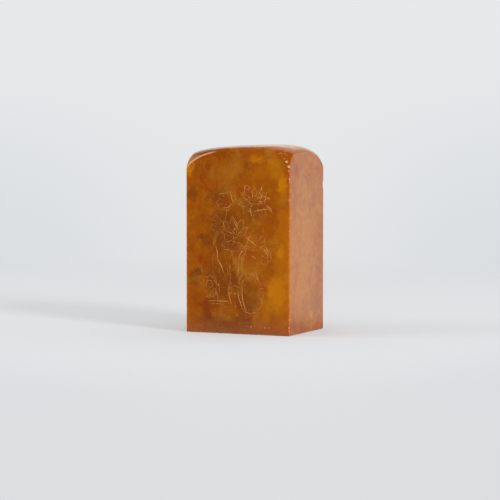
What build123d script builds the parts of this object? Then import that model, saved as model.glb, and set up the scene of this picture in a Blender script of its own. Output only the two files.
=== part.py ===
from build123d import *
import os
from math import cos, pi, sqrt

# A hand-held seal, cut from one block of amber soapstone.
# The frame has its origin at the centre of the underside, +Z up, the wide carved side
# towards -Y. Lengths are in millimetres.

# Block
width = 32.0
depth = 24.3
height = 53.1
arris = 0.25

# Domed top. Each side has a reach, how far in its rounding begins, and a drop, how far
# the rounding falls from the crown. Each corner falls further by its corner drop.
left_reach = 12.4
right_reach = 8.5
front_reach_left = 7.0
front_reach_right = 4.6
back_reach = 12.4
left_drop = 1.5
right_drop = 2.8
front_drop = 1.55
back_drop = 2.5
front_corner_drop = 6.8
back_corner_drop = 6.1
# The crown is highest at a share of the width, and falls from there to the far end.
crown_fall = 1.25
crown_place_share = 0.85
# A rounding would stand upright this far outside the block, so it meets the side at an edge.
edge_lead = 0.45

# Print face: a raised rim and a raised key fret, left standing by the sunk ground.
ground_depth = 0.8
rim_width = 1.3
stroke_width = 1.1
channel_width = 0.8
fret_columns = 3
fret_rows = 2

# Stations at which the domed top is worked out, and the overruns of its cutter
stations_across = 33
stations_deep = 29
cutter_headroom = 5.0
overhang_share = 0.6
surface_tolerance = 0.01

# The path of one fret, from its outer corner inwards, as shares of its width and depth
fret_path_shares = [(0, 0), (0, 1), (1, 1), (1, 0), (0.25, 0), (0.25, 0.75),
                    (0.75, 0.75), (0.75, 0.25), (0.5, 0.25), (0.5, 0.5)]


def rounding_share(distance, reach):
    """How much of its drop a quarter-round has fallen, at a distance in from its side."""
    still_to_go = max(0.0, 1 - (distance + edge_lead) / (reach + edge_lead))
    return 1 - sqrt(1 - still_to_go**2)


def top_height(x, y):
    """Height of the domed top above the print face."""
    from_left = x + width / 2
    from_right = width / 2 - x
    from_front = y + depth / 2
    from_back = depth / 2 - y
    across_share = from_left / width
    front_reach = front_reach_left + (front_reach_right - front_reach_left) * across_share
    left = rounding_share(from_left, left_reach)
    right = rounding_share(from_right, right_reach)
    front = rounding_share(from_front, front_reach)
    back = rounding_share(from_back, back_reach)
    sides = left_drop * left + right_drop * right + front_drop * front + back_drop * back
    corners = (left + right) * (front_corner_drop * front + back_corner_drop * back)
    crown = crown_fall * ((across_share - crown_place_share) / crown_place_share) ** 2
    return height - sides - corners - crown


def stations(length, count):
    """Places across a length, from overhang to overhang, closer together near its ends."""
    reach = length / 2 + edge_lead * overhang_share
    return [-reach * cos(pi * index / (count - 1)) for index in range(count)]


def domed_cutter():
    """The space above the domed top."""
    rows = [
        [(x, y, top_height(x, y)) for x in stations(width, stations_across)]
        for y in stations(depth, stations_deep)
    ]
    dome = Face.make_surface_from_array_of_points(rows, tol=surface_tolerance, min_deg=3, max_deg=5)
    return Solid.extrude(dome, (0, 0, height + cutter_headroom))


def fret(column, row):
    """One hooked square of the fret, turned to face its neighbours."""
    field_width = width - 2 * rim_width - channel_width
    field_depth = depth - 2 * rim_width - channel_width
    cell_width = field_width / fret_columns
    cell_depth = field_depth / fret_rows
    span_x = cell_width - channel_width - stroke_width
    span_y = cell_depth - channel_width - stroke_width
    centre = (
        (column + 0.5) * cell_width - field_width / 2,
        (row + 0.5) * cell_depth - field_depth / 2,
    )
    across = 1 if column % 2 == 0 else -1
    along = 1 if row % 2 == 0 else -1
    corners = [
        (centre[0] + across * (u - 0.5) * span_x, centre[1] + along * (v - 0.5) * span_y)
        for u, v in fret_path_shares
    ]
    strokes = Sketch()
    for start, end in zip(corners, corners[1:]):
        middle = ((start[0] + end[0]) / 2, (start[1] + end[1]) / 2)
        size_x = abs(end[0] - start[0]) + stroke_width
        size_y = abs(end[1] - start[1]) + stroke_width
        strokes += Pos(*middle) * Rectangle(size_x, size_y)
    return strokes


def sunk_ground():
    """The ground of the print face, between the rim and the frets."""
    ground = Rectangle(width - 2 * rim_width, depth - 2 * rim_width)
    for column in range(fret_columns):
        for row in range(fret_rows):
            ground -= fret(column, row)
    return extrude(ground, ground_depth)


def seal_stone():
    """The whole stone: block, worn arrises, domed top and print face."""
    block = Pos(0, 0, height / 2) * Box(width, depth, height)
    foot_edges = block.edges().group_by(Axis.Z)[0]
    upright_edges = block.edges().filter_by(Axis.Z)
    stone = chamfer(foot_edges + upright_edges, arris)
    stone -= domed_cutter()
    stone -= sunk_ground()
    return stone


os.makedirs("parts", exist_ok=True)
export_step(seal_stone(), "parts/seal_stone.step")
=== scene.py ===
import math
import random

import bmesh
import bpy
import numpy as np
from bpy.props import FloatProperty, FloatVectorProperty, IntProperty, PointerProperty
from mathutils import Matrix, Vector
from mathutils.geometry import delaunay_2d_cdt


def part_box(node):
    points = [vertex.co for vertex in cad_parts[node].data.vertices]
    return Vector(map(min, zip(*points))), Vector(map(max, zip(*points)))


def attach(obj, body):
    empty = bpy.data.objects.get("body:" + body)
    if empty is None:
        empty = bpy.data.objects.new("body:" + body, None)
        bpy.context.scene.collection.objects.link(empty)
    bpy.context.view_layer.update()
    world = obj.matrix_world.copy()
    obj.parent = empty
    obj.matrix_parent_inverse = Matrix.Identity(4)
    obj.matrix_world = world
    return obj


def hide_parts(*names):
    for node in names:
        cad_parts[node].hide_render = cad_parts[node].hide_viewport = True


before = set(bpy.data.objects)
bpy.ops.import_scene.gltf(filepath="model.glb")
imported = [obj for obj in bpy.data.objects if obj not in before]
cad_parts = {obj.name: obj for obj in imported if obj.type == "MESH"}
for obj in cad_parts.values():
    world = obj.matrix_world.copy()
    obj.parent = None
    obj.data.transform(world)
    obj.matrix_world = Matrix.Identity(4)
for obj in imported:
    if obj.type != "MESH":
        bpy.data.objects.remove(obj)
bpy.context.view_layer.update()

bl_info = {
    "name": "Carved Soapstone Seal",
    "version": (1, 0, 0),
    "blender": (4, 5, 0),
    "location": "3D View > Sidebar > Seal",
    "description": "Builds a polished soapstone seal with an incised lotus spray and a cut print face",
    "category": "Object",
}

# The stone's node and body in the frame, and its box. Everything is sized from that box.
STONE_NODE = "seal_stone"
BODY = "root"
LOW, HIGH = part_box(STONE_NODE)
WIDTH, DEPTH, HEIGHT = HIGH.x - LOW.x, HIGH.y - LOW.y, HIGH.z
MM = 0.001


# Sizes and colours

class SealShape(bpy.types.PropertyGroup):
    """Sizes of the block, its domed top and its worn edges."""

    arris: FloatProperty(
        name="Arris", description="Radius of the worn edges", default=0.28 * MM, unit="LENGTH", precision=5)
    left_reach: FloatProperty(
        name="Left Reach", description="How far in the left rounding of the top begins",
        default=12.4 * MM, unit="LENGTH", precision=5)
    right_reach: FloatProperty(
        name="Right Reach", description="How far in the right rounding of the top begins",
        default=8.5 * MM, unit="LENGTH", precision=5)
    front_reach_left: FloatProperty(
        name="Front Reach, Left", description="How far in the front rounding begins at the left",
        default=7.0 * MM, unit="LENGTH", precision=5)
    front_reach_right: FloatProperty(
        name="Front Reach, Right", description="How far in the front rounding begins at the right",
        default=4.6 * MM, unit="LENGTH", precision=5)
    back_reach: FloatProperty(
        name="Back Reach", description="How far in the back rounding begins",
        default=12.4 * MM, unit="LENGTH", precision=5)
    left_drop: FloatProperty(
        name="Left Drop", description="How far the left rounding falls",
        default=1.5 * MM, unit="LENGTH", precision=5)
    right_drop: FloatProperty(
        name="Right Drop", description="How far the right rounding falls",
        default=2.8 * MM, unit="LENGTH", precision=5)
    front_drop: FloatProperty(
        name="Front Drop", description="How far the front rounding falls",
        default=1.55 * MM, unit="LENGTH", precision=5)
    back_drop: FloatProperty(
        name="Back Drop", description="How far the back rounding falls",
        default=2.5 * MM, unit="LENGTH", precision=5)
    front_corner_drop: FloatProperty(
        name="Front Corner Drop", description="How much further the front corners fall",
        default=6.8 * MM, unit="LENGTH", precision=5)
    back_corner_drop: FloatProperty(
        name="Back Corner Drop", description="How much further the back corners fall",
        default=6.1 * MM, unit="LENGTH", precision=5)
    crown_fall: FloatProperty(
        name="Crown Fall", description="How far the crown falls to its far end",
        default=1.25 * MM, unit="LENGTH", precision=5)
    crown_place: FloatProperty(
        name="Crown Place", description="Where the crown is highest, as a share of the width",
        default=0.85, min=0.1, max=1.0, subtype="FACTOR")
    edge_lead: FloatProperty(
        name="Edge Lead", description="How far outside the block a rounding would stand upright",
        default=0.45 * MM, unit="LENGTH", precision=5)
    cell: FloatProperty(
        name="Cell", description="Largest spacing of the mesh on the plain faces",
        default=0.75 * MM, unit="LENGTH", precision=5)
    lapping: FloatProperty(
        name="Lapping", description="How far the hand-ground faces wander from flat",
        default=0.05 * MM, unit="LENGTH", precision=5)


class SealSpray(bpy.types.PropertyGroup):
    """Sizes of the incised lotus spray."""

    line_width: FloatProperty(
        name="Line Width", description="Width of a plain incised line", default=0.18 * MM, unit="LENGTH",
        precision=5)
    line_depth: FloatProperty(
        name="Line Depth", description="Depth of a plain incised line", default=0.09 * MM, unit="LENGTH",
        precision=5)
    step: FloatProperty(
        name="Step", description="Spacing of the points along a line", default=0.3 * MM, unit="LENGTH",
        precision=5)
    margin: FloatProperty(
        name="Margin", description="Plain border kept round the spray", default=1.2 * MM, unit="LENGTH",
        precision=5)


class SealFace(bpy.types.PropertyGroup):
    """Sizes of the print face."""

    ground_depth: FloatProperty(
        name="Ground Depth", description="How deep the ground is sunk", default=0.8 * MM, unit="LENGTH",
        precision=5)
    rim_width: FloatProperty(
        name="Rim Width", description="Width of the raised rim", default=1.3 * MM, unit="LENGTH", precision=5)
    stroke_width: FloatProperty(
        name="Stroke Width", description="Width of a raised fret stroke", default=1.1 * MM, unit="LENGTH",
        precision=5)
    channel_width: FloatProperty(
        name="Channel Width", description="Width of the channel between two frets", default=0.8 * MM,
        unit="LENGTH", precision=5)
    columns: IntProperty(name="Columns", description="Frets across the face", default=3, min=1)
    rows: IntProperty(name="Rows", description="Frets down the face", default=2, min=1)
    wall_run: FloatProperty(
        name="Wall Run", description="How far a cut wall leans out over its depth", default=0.14 * MM,
        unit="LENGTH", precision=5)
    knife_wander: FloatProperty(
        name="Knife Wander", description="How far the cut edges wander", default=0.06 * MM, unit="LENGTH",
        precision=5)


class SealColours(bpy.types.PropertyGroup):
    """Colours of the stone, its cut lines, the paste on its print face and the darker band at its foot."""

    amber: FloatVectorProperty(
        name="Amber", description="Main colour of the stone", subtype="COLOR", default=(0.43, 0.110, 0.002))
    # Clear yellow patches; also laid as painted light on the domed top, partly as a painted glow up the right
    # edge of the wide face, and as part of a painted sheen over the narrow right side.
    honey_and_painted_light: FloatVectorProperty(
        name="Honey", description="Clear yellow patches", subtype="COLOR", default=(0.72, 0.26, 0.002))
    russet: FloatVectorProperty(
        name="Russet", description="Orange-red veins", subtype="COLOR", default=(0.34, 0.045, 0.003))
    # Clear dark patches; also laid as painted shade on the front of the domed top.
    deep: FloatVectorProperty(
        name="Deep", description="Clear dark patches", subtype="COLOR", default=(0.31, 0.074, 0.001))
    smoke: FloatVectorProperty(
        name="Smoke", description="Purple-brown clouds", subtype="COLOR", default=(0.19, 0.045, 0.007))
    # Pale cloudy patches; also laid over the whole narrow right side as a painted sheen.
    milk_and_painted_sheen: FloatVectorProperty(
        name="Milk", description="Pale cloudy patches", subtype="COLOR", default=(0.50, 0.192, 0.016))
    frost: FloatVectorProperty(
        name="Frost", description="Powdered stone in an incised line", subtype="COLOR",
        default=(0.98, 0.55, 0.17))
    # Also the colour of the painted highlight on the ridge at the top left.
    powder_and_highlight: FloatVectorProperty(
        name="Powder", description="Broken stone in a chip", subtype="COLOR", default=(0.98, 0.68, 0.36))
    # Laid only on the darker, redder band towards the foot.
    paste: FloatVectorProperty(
        name="Paste", description="Traces of dried seal paste", subtype="COLOR", default=(0.30, 0.018, 0.010))
    wet_paste: FloatVectorProperty(
        name="Print Face Paste", description="Seal paste left on the print face", subtype="COLOR",
        default=(0.58, 0.030, 0.014))


class SealStage(bpy.types.PropertyGroup):
    """Floor, backdrop, camera and lamps."""

    backdrop: FloatVectorProperty(
        name="Backdrop", description="Colour of the plain backdrop", subtype="COLOR",
        default=(0.80, 0.81, 0.825))
    backdrop_edge: FloatVectorProperty(
        name="Backdrop Edge", description="Colour of the backdrop low down at the sides", subtype="COLOR",
        default=(0.735, 0.765, 0.795))
    floor: FloatVectorProperty(
        name="Floor", description="Colour of the plain floor", subtype="COLOR", default=(0.832, 0.852, 0.874))
    floor_middle: FloatVectorProperty(
        name="Floor Middle", description="Middle of the solid part of the floor",
        default=(-0.05, 0.045, 0.0), subtype="XYZ", unit="LENGTH")
    floor_clear: FloatProperty(
        name="Floor Clear", description="Radius inside which the floor is solid",
        default=0.10, unit="LENGTH")
    floor_edge: FloatProperty(
        name="Floor Edge", description="Radius at which the floor has faded away",
        default=0.23, unit="LENGTH")
    turn: FloatProperty(
        name="Turn", description="How far round the camera stands",
        default=math.radians(24.31), subtype="ANGLE")
    tilt: FloatProperty(
        name="Tilt", description="How far the camera looks down",
        default=math.radians(4.30), subtype="ANGLE")
    focal_pixels: FloatProperty(
        name="Focal Pixels", description="Focal length in pixels of the 500 pixel frame",
        default=3000.0, subtype="PIXEL")
    stone_pixels: FloatProperty(
        name="Stone Pixels", description="Width of the stone's wide face, seen square on, in pixels",
        default=114.465, subtype="PIXEL")
    corner_across: FloatProperty(
        name="Corner Across", description="Where the front foot corner falls, pixels from the left",
        default=289.06, subtype="PIXEL")
    corner_down: FloatProperty(
        name="Corner Down", description="Where the front foot corner falls, pixels from the top",
        default=335.98, subtype="PIXEL")
    even_light: FloatProperty(
        name="Even Light", description="Strength of the even light all round", default=0.54)
    key_light: FloatProperty(
        name="Key Light", description="Strength of the lamp at the right, as it reaches the stone",
        default=0.485)
    side_light: FloatProperty(
        name="Side Light", description="Strength of the lamp at the left, as it reaches the stone",
        default=0.18)


GROUPS = {
    "seal_shape": SealShape, "seal_spray": SealSpray, "seal_face": SealFace,
    "seal_colours": SealColours, "seal_stage": SealStage,
}


# Node building

# Sockets of a mix node that blends two colours
MIX_SHARE, MIX_FIRST, MIX_SECOND, MIX_RESULT = 0, 6, 7, 2
# Noise runs from zero to one, so this is its middle
NOISE_MIDDLE = 0.5


def node(tree, kind, values=None, **settings):
    """Adds a node, sets its settings, and fills its inputs with values or with other nodes' outputs."""
    made = tree.nodes.new(kind)
    for name, setting in settings.items():
        setattr(made, name, setting)
    for key, value in (values or {}).items():
        socket = made.inputs[key]
        if isinstance(value, bpy.types.NodeSocket):
            tree.links.new(value, socket)
        else:
            socket.default_value = value
    return made


def math_node(tree, operation, *values, clamp=False):
    """A math node's output."""
    made = node(tree, "ShaderNodeMath", dict(enumerate(values)), operation=operation, use_clamp=clamp)
    return made.outputs[0]


def times(tree, first, second):
    """The product of two values."""
    return math_node(tree, "MULTIPLY", first, second)


def either(tree, first, second):
    """The greater of two masks."""
    return math_node(tree, "MAXIMUM", first, second)


def vector_math(tree, operation, *values, result="Vector"):
    """A vector math node's output."""
    keys = (0, "Scale") if operation == "SCALE" else (0, 1)
    made = node(tree, "ShaderNodeVectorMath", dict(zip(keys, values)), operation=operation)
    return made.outputs[result]


def facing(tree, way, towards):
    """The cosine between a direction and a fixed one."""
    return vector_math(tree, "DOT_PRODUCT", way, towards, result="Value")


def blend_colour(tree, share, first, second):
    """The first colour where the share is zero, and the second where it is one."""
    ends = [end if isinstance(end, bpy.types.NodeSocket) else (*end, 1.0) for end in (first, second)]
    made = node(tree, "ShaderNodeMix", {MIX_SHARE: share, MIX_FIRST: ends[0], MIX_SECOND: ends[1]},
                data_type="RGBA")
    return made.outputs[MIX_RESULT]


def blend_shader(tree, share, first, second):
    """The first shader where the share is zero, and the second where it is one."""
    return node(tree, "ShaderNodeMixShader", {0: share, 1: first, 2: second}).outputs[0]


def smooth_step(tree, value, low, high, start=0.0, end=1.0):
    """A smooth rise from start at low to end at high."""
    return node(tree, "ShaderNodeMapRange", {
        "Value": value, "From Min": low, "From Max": high, "To Min": start, "To Max": end,
    }, interpolation_type="SMOOTHSTEP").outputs["Result"]


def noise_shift(tree, place, scale, detail, reach):
    """A shift that wanders from place to place."""
    noise = node(tree, "ShaderNodeTexNoise", {"Vector": place, "Scale": scale, "Detail": detail})
    centred = vector_math(tree, "SUBTRACT", noise.outputs["Color"], (NOISE_MIDDLE,) * 3)
    return vector_math(tree, "SCALE", centred, reach)


def new_group(name, kind, inputs, outputs):
    """A node group with the named sockets, its input node's outputs and its output node's inputs."""
    tree = bpy.data.node_groups.new(name, kind)
    for socket_name, socket_type, default in inputs:
        socket = tree.interface.new_socket(name=socket_name, in_out="INPUT", socket_type=socket_type)
        if default is not None:
            socket.default_value = default
    for socket_name, socket_type in outputs:
        tree.interface.new_socket(name=socket_name, in_out="OUTPUT", socket_type=socket_type)
    return tree, tree.nodes.new("NodeGroupInput").outputs, tree.nodes.new("NodeGroupOutput").inputs


def use_group(tree, group, values):
    """Places a shader node group and returns its outputs."""
    return node(tree, "ShaderNodeGroup", values, node_tree=group).outputs


# Shader node groups

# A cloud's warp: the detail of its noise, and its whole swing, since noise goes half a unit either way
WARP_DETAIL = 2.0
WHOLE_SWING = 2.0
# Polishing marks run up and down: how much the place is squeezed along each axis, and how strong they are
POLISH_STRETCH = (0.12, 0.12, 1.0)
POLISH_SHARE = 0.5
# The grain's mask rises between these values of its noise
GRAIN_SPECKS = (0.5, 0.68)


def cloud_group():
    """A warped cloud: a mask that rises where the noise is high."""
    tree, given, result = new_group("Stone Cloud", "ShaderNodeTree", [
        ("Vector", "NodeSocketVector", None), ("Size", "NodeSocketFloat", 8.0),
        ("Detail", "NodeSocketFloat", 4.0), ("Warp", "NodeSocketFloat", 2.0),
        ("Low", "NodeSocketFloat", 0.45), ("High", "NodeSocketFloat", 0.6),
        ("Place", "NodeSocketVector", (0.0, 0.0, 0.0)),
    ], [("Mask", "NodeSocketFloat")])
    place = vector_math(tree, "ADD", given["Vector"], given["Place"])
    scale = math_node(tree, "DIVIDE", 1.0, given["Size"])
    shift = noise_shift(tree, place, scale, WARP_DETAIL, times(tree, given["Warp"], WHOLE_SWING))
    cloud = node(tree, "ShaderNodeTexNoise", {
        "Vector": vector_math(tree, "ADD", place, shift), "Scale": scale,
        "Detail": given["Detail"], "Roughness": 0.55})
    tree.links.new(smooth_step(tree, cloud.outputs["Fac"], given["Low"], given["High"]), result["Mask"])
    return tree


def patch_group():
    """A soft patch round a centre, an ellipsoid with its own reach along each axis."""
    tree, given, result = new_group("Stone Patch", "ShaderNodeTree", [
        ("Vector", "NodeSocketVector", None), ("Centre", "NodeSocketVector", None),
        ("Reach", "NodeSocketVector", (3.0, 3.0, 3.0)), ("Core", "NodeSocketFloat", 0.3),
    ], [("Mask", "NodeSocketFloat")])
    away = vector_math(tree, "SUBTRACT", given["Vector"], given["Centre"])
    share = vector_math(tree, "DIVIDE", away, given["Reach"])
    length = vector_math(tree, "LENGTH", share, result="Value")
    tree.links.new(smooth_step(tree, length, 1.0, given["Core"]), result["Mask"])
    return tree


def grain_group():
    """Fine mineral grain and polishing marks, as a height and a mask."""
    tree, given, result = new_group("Stone Grain", "ShaderNodeTree", [
        ("Vector", "NodeSocketVector", None), ("Grain Size", "NodeSocketFloat", 0.25),
        ("Scratch Size", "NodeSocketFloat", 0.12),
    ], [("Height", "NodeSocketFloat"), ("Mask", "NodeSocketFloat")])
    grain = node(tree, "ShaderNodeTexNoise", {
        "Vector": given["Vector"], "Scale": math_node(tree, "DIVIDE", 1.0, given["Grain Size"]),
        "Detail": 3.0, "Roughness": 0.6})
    stretched = vector_math(tree, "MULTIPLY", given["Vector"], POLISH_STRETCH)
    scratches = node(tree, "ShaderNodeTexNoise", {
        "Vector": stretched, "Scale": math_node(tree, "DIVIDE", 1.0, given["Scratch Size"]),
        "Detail": 2.0, "Roughness": 0.5, "Distortion": 0.4})
    height = math_node(tree, "MULTIPLY_ADD", scratches.outputs["Fac"], POLISH_SHARE, grain.outputs["Fac"])
    tree.links.new(height, result["Height"])
    tree.links.new(smooth_step(tree, grain.outputs["Fac"], *GRAIN_SPECKS), result["Mask"])
    return tree


def vein_group():
    """Thin veins, where a noise passes its middle value."""
    tree, given, result = new_group("Stone Vein", "ShaderNodeTree", [
        ("Vector", "NodeSocketVector", None), ("Size", "NodeSocketFloat", 7.0),
        ("Width", "NodeSocketFloat", 0.01),
    ], [("Mask", "NodeSocketFloat")])
    noise = node(tree, "ShaderNodeTexNoise", {
        "Vector": given["Vector"], "Scale": math_node(tree, "DIVIDE", 1.0, given["Size"]), "Detail": 3.0})
    away = math_node(tree, "ABSOLUTE", math_node(tree, "SUBTRACT", noise.outputs["Fac"], NOISE_MIDDLE))
    tree.links.new(smooth_step(tree, away, given["Width"], 0.0), result["Mask"])
    return tree


# The domed top

def rounding_share(distance, reach, lead):
    """How much of its drop a quarter-round has fallen, at a distance in from its side."""
    still_to_go = np.clip(1 - (distance + lead) / (reach + lead), 0, 1)
    return 1 - np.sqrt(1 - still_to_go**2)


def top_drop(x, y, shape):
    """How far the domed top lies below the crown, at places across the block."""
    across = (x + WIDTH / 2) / WIDTH
    lead = shape.edge_lead
    front_reach = shape.front_reach_left + (shape.front_reach_right - shape.front_reach_left) * across
    left = rounding_share(x + WIDTH / 2, shape.left_reach, lead)
    right = rounding_share(WIDTH / 2 - x, shape.right_reach, lead)
    front = rounding_share(y + DEPTH / 2, front_reach, lead)
    back = rounding_share(DEPTH / 2 - y, shape.back_reach, lead)
    sides = (shape.left_drop * left + shape.right_drop * right
             + shape.front_drop * front + shape.back_drop * back)
    corners = (left + right) * (shape.front_corner_drop * front + shape.back_corner_drop * back)
    crown = shape.crown_fall * ((across - shape.crown_place) / shape.crown_place) ** 2
    return sides + corners + crown


# The block's mesh

# Gaps between mesh lines on a worn edge, the first gap beside it, and how much wider each next one is
ARRIS_PARTS = 4
FINEST = 0.1 * MM
EDGE_GROWTH = 1.4
# The block is sheared into the dome above this share of its height
SHEAR_START_SHARE = 0.5


def edge_lines(length, radius, cell):
    """Mesh lines across a length: close together on the worn edge at each end, then wider and wider."""
    quarter = math.pi / 4
    near = [radius * (1 - math.tan(quarter * (1 - part / ARRIS_PARTS))) for part in range(ARRIS_PARTS + 1)]
    step = FINEST
    while step < cell:
        near.append(near[-1] + step)
        step *= EDGE_GROWTH
    gap = length - 2 * near[-1]
    count = max(1, math.ceil(gap / cell))
    middle = [near[-1] + gap * index / count for index in range(1, count)]
    return np.array(near + middle + [length - place for place in reversed(near)])


def round_over(points, low, high, radius):
    """Moves points on a box's surface onto the same box with rounded edges."""
    inner = np.clip(points, low + radius, high - radius)
    away = points - inner
    length = np.linalg.norm(away, axis=1, keepdims=True)
    return inner + away / length * radius


def shear_to_dome(points, shape):
    """Lowers the upper part of the block so that its flat top becomes the dome."""
    share = np.clip((points[:, 2] / HEIGHT - SHEAR_START_SHARE) / (1 - SHEAR_START_SHARE), 0, 1)
    weight = share * share * (3 - 2 * share)
    points[:, 2] -= top_drop(points[:, 0], points[:, 1], shape) * weight
    return points


class BlockGrid:
    """The block's surface as grid lines, with a point for each place where they cross."""

    def __init__(self, shape):
        self.lines = [
            edge_lines(WIDTH, shape.arris, shape.cell) - WIDTH / 2,
            edge_lines(DEPTH, shape.arris, shape.cell) - DEPTH / 2,
            edge_lines(HEIGHT, shape.arris, shape.cell),
        ]
        self.last = [len(line) - 1 for line in self.lines]
        self.number = {}
        raw = []
        for i in range(self.last[0] + 1):
            for j in range(self.last[1] + 1):
                on_side = i in (0, self.last[0]) or j in (0, self.last[1])
                levels = range(self.last[2] + 1) if on_side else (0, self.last[2])
                for k in levels:
                    self.number[i, j, k] = len(raw)
                    raw.append((self.lines[0][i], self.lines[1][j], self.lines[2][k]))
        low = np.array([-WIDTH / 2, -DEPTH / 2, 0.0])
        high = np.array([WIDTH / 2, DEPTH / 2, HEIGHT])
        self.points = shear_to_dome(round_over(np.array(raw), low, high, shape.arris), shape)

    def crossing(self, axis, line, u, v):
        """The number of the point where lines u and v of a face cross. The face is a line of its axis."""
        place = [u, v]
        place.insert(axis, line)
        return self.number[tuple(place)]

    def patch(self, axis, end, skip=None):
        """The quads of one of the six faces, turned outwards, apart from those in a skipped range."""
        first, second = [other for other in range(3) if other != axis]
        line = self.last[axis] if end else 0
        quads = []
        for a in range(self.last[first]):
            for b in range(self.last[second]):
                if skip and skip[0] <= a < skip[1] and skip[2] <= b < skip[3]:
                    continue
                corners = [(a, b), (a + 1, b), (a + 1, b + 1), (a, b + 1)]
                if (axis == 1) == bool(end):
                    corners.reverse()
                quads.append([self.crossing(axis, line, u, v) for u, v in corners])
        return quads

    def loop(self, axis, skip):
        """The points round a skipped range on the low face of an axis, in order."""
        a0, a1, b0, b1 = skip
        path = [(a, b0) for a in range(a0, a1)] + [(a1, b) for b in range(b0, b1)]
        path += [(a, b1) for a in range(a1, a0, -1)] + [(a0, b) for b in range(b1, b0, -1)]
        return self.points[[self.crossing(axis, 0, u, v) for u, v in path]]

    def span(self, axis, low, high):
        """The first line at or past low and the last line at or before high."""
        line = self.lines[axis]
        return int(np.searchsorted(line, low)), int(np.searchsorted(line, high, side="right")) - 1


# Lines in the plane

# Points that a smooth line has for each stretch between two given points
SMOOTH_STEPS = 8


def smooth_line(points):
    """A smooth line through points, by Catmull and Rom's rule."""
    points = [np.array(point, float) for point in points]
    if len(points) == 2:
        return [points[0] + (points[1] - points[0]) * t for t in np.linspace(0, 1, SMOOTH_STEPS)]
    padded = [2 * points[0] - points[1], *points, 2 * points[-1] - points[-2]]
    line = []
    for a, b, c, d in zip(padded, padded[1:], padded[2:], padded[3:]):
        for t in np.arange(SMOOTH_STEPS) / SMOOTH_STEPS:
            line.append(0.5 * (2 * b + (c - a) * t + (2 * a - 5 * b + 4 * c - d) * t * t
                               + (3 * b - a - 3 * c + d) * t**3))
    return line + [points[-1]]


def distances(line):
    """How far along a line each of its points lies."""
    return np.concatenate([[0], np.cumsum(np.linalg.norm(np.diff(line, axis=0), axis=1))])


def across_line(line):
    """Unit vectors across a line, one at each of its points."""
    along = np.gradient(line, axis=0)
    return np.stack([-along[:, 1], along[:, 0]], 1) / np.linalg.norm(along, axis=1)[:, None]


def resample(line, step):
    """Points at even steps along a line."""
    along = distances(line)
    even = np.linspace(0, along[-1], max(3, int(round(along[-1] / step)) + 1))
    return np.stack([np.interp(even, along, line[:, axis]) for axis in range(2)], 1)


def inside(point, outline):
    """Whether a point lies inside a closed outline."""
    x, y = point
    ahead = np.roll(outline, -1, axis=0)
    crosses = (outline[:, 1] > y) != (ahead[:, 1] > y)
    rise = np.where(crosses, ahead[:, 1] - outline[:, 1], 1.0)
    meet = outline[:, 0] + (y - outline[:, 1]) / rise * (ahead[:, 0] - outline[:, 0])
    return bool(np.count_nonzero(crosses & (x < meet)) % 2)


# The lotus spray, drawn on the wide face in millimetres: across from its middle, up from its foot

SPRAY_SEED = 21
# The knife cuts a long line in short strokes. Their least and greatest length, in plain and in fine lines
CUT_LENGTHS = (0.9, 2.4)
FINE_LENGTHS = (0.45, 1.2)
# A line up to the first weight is fine, and one from the second weight up is cut in one bold stroke
FINE_WEIGHT = 0.66
BOLD_WEIGHT = 1.3
# How hard the knife presses on a stroke, how fresh the stroke is, and how much its weight adds to that
PRESSES = (0.55, 1.3)
FRESHNESSES = (0.12, 0.62)
WEIGHT_FRESHNESS = 0.3
# The share of strokes that are left out, and the length under which none is cut
SKIPPED_SHARE = 0.12
SHORTEST_CUT = 0.25
# Spacing of a stroke's points, how far a stroke strays, and the gap to the next, below zero if they overlap
CUT_STEP = 0.15
CUT_DRIFT = 0.035
CUT_GAPS = (-0.15, 0.25)


class Drawing:
    """Strokes on a plane. What is drawn first lies in front and hides what comes after it."""

    def __init__(self, seed):
        self.strokes = []
        self.fronts = []
        self.dice = random.Random(seed)

    def hidden(self, point):
        """Whether a point lies behind something that is already drawn."""
        return any(inside(point, front) for front in self.fronts)

    def draw(self, points, weight=1.0, taper=0.25, over=False):
        """Draws a line through points, leaving out the parts that lie behind something."""
        run = []
        for point in smooth_line(points):
            if not over and self.hidden(point):
                self.keep(run, weight, taper)
                run = []
            else:
                run.append(point)
        self.keep(run, weight, taper)

    def keep(self, run, weight, taper):
        """Keeps a run as the knife cuts it: in short strokes of uneven weight that nearly meet."""
        if len(run) < 3:
            return
        line = np.array(run)
        along = distances(line)
        bold = weight >= BOLD_WEIGHT
        whole = bold or along[-1] < CUT_LENGTHS[0]
        lengths = CUT_LENGTHS if weight > FINE_WEIGHT else FINE_LENGTHS
        start = 0.0
        while along[-1] - start > SHORTEST_CUT:
            end = along[-1] if whole else start + self.dice.uniform(*lengths)
            if along[-1] - end < lengths[0]:
                end = along[-1]
            spots = np.linspace(start, end, max(3, int((end - start) / CUT_STEP)))
            drift = [0 if whole else self.dice.gauss(0, CUT_DRIFT) for axis in range(2)]
            cut = np.stack([np.interp(spots, along, line[:, axis]) + drift[axis] for axis in range(2)], 1)
            press = 1.0 if whole else self.dice.uniform(*PRESSES)
            fresh = 1.0 if bold else self.dice.uniform(*FRESHNESSES) + WEIGHT_FRESHNESS * weight * press
            if whole or self.dice.random() > SKIPPED_SHARE:
                self.strokes.append((cut, weight * press, taper, min(1.0, fresh)))
            start = end + self.dice.uniform(*CUT_GAPS)

    def cover(self, outline):
        """From here on, what lies inside the outline is hidden."""
        self.fronts.append(np.array(outline))


# A petal's edge and its veins: shares of the way to the tip, and how far each swells aside there
PETAL_SHARES, PETAL_SWELLS = (0.0, 0.22, 0.5, 0.78, 0.93, 1.0), (0.28, 0.78, 1.0, 0.62, 0.22, 0.0)
VEIN_SHARES, VEIN_SWELLS = (0.35, 0.55, 0.75, 0.9), (0.95, 1.0, 0.7, 0.32)
# How much of the petal's breadth the veins keep to, and their weight beside the edge's
VEIN_ROOM = 0.8
VEIN_WEIGHT = 0.6


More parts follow.
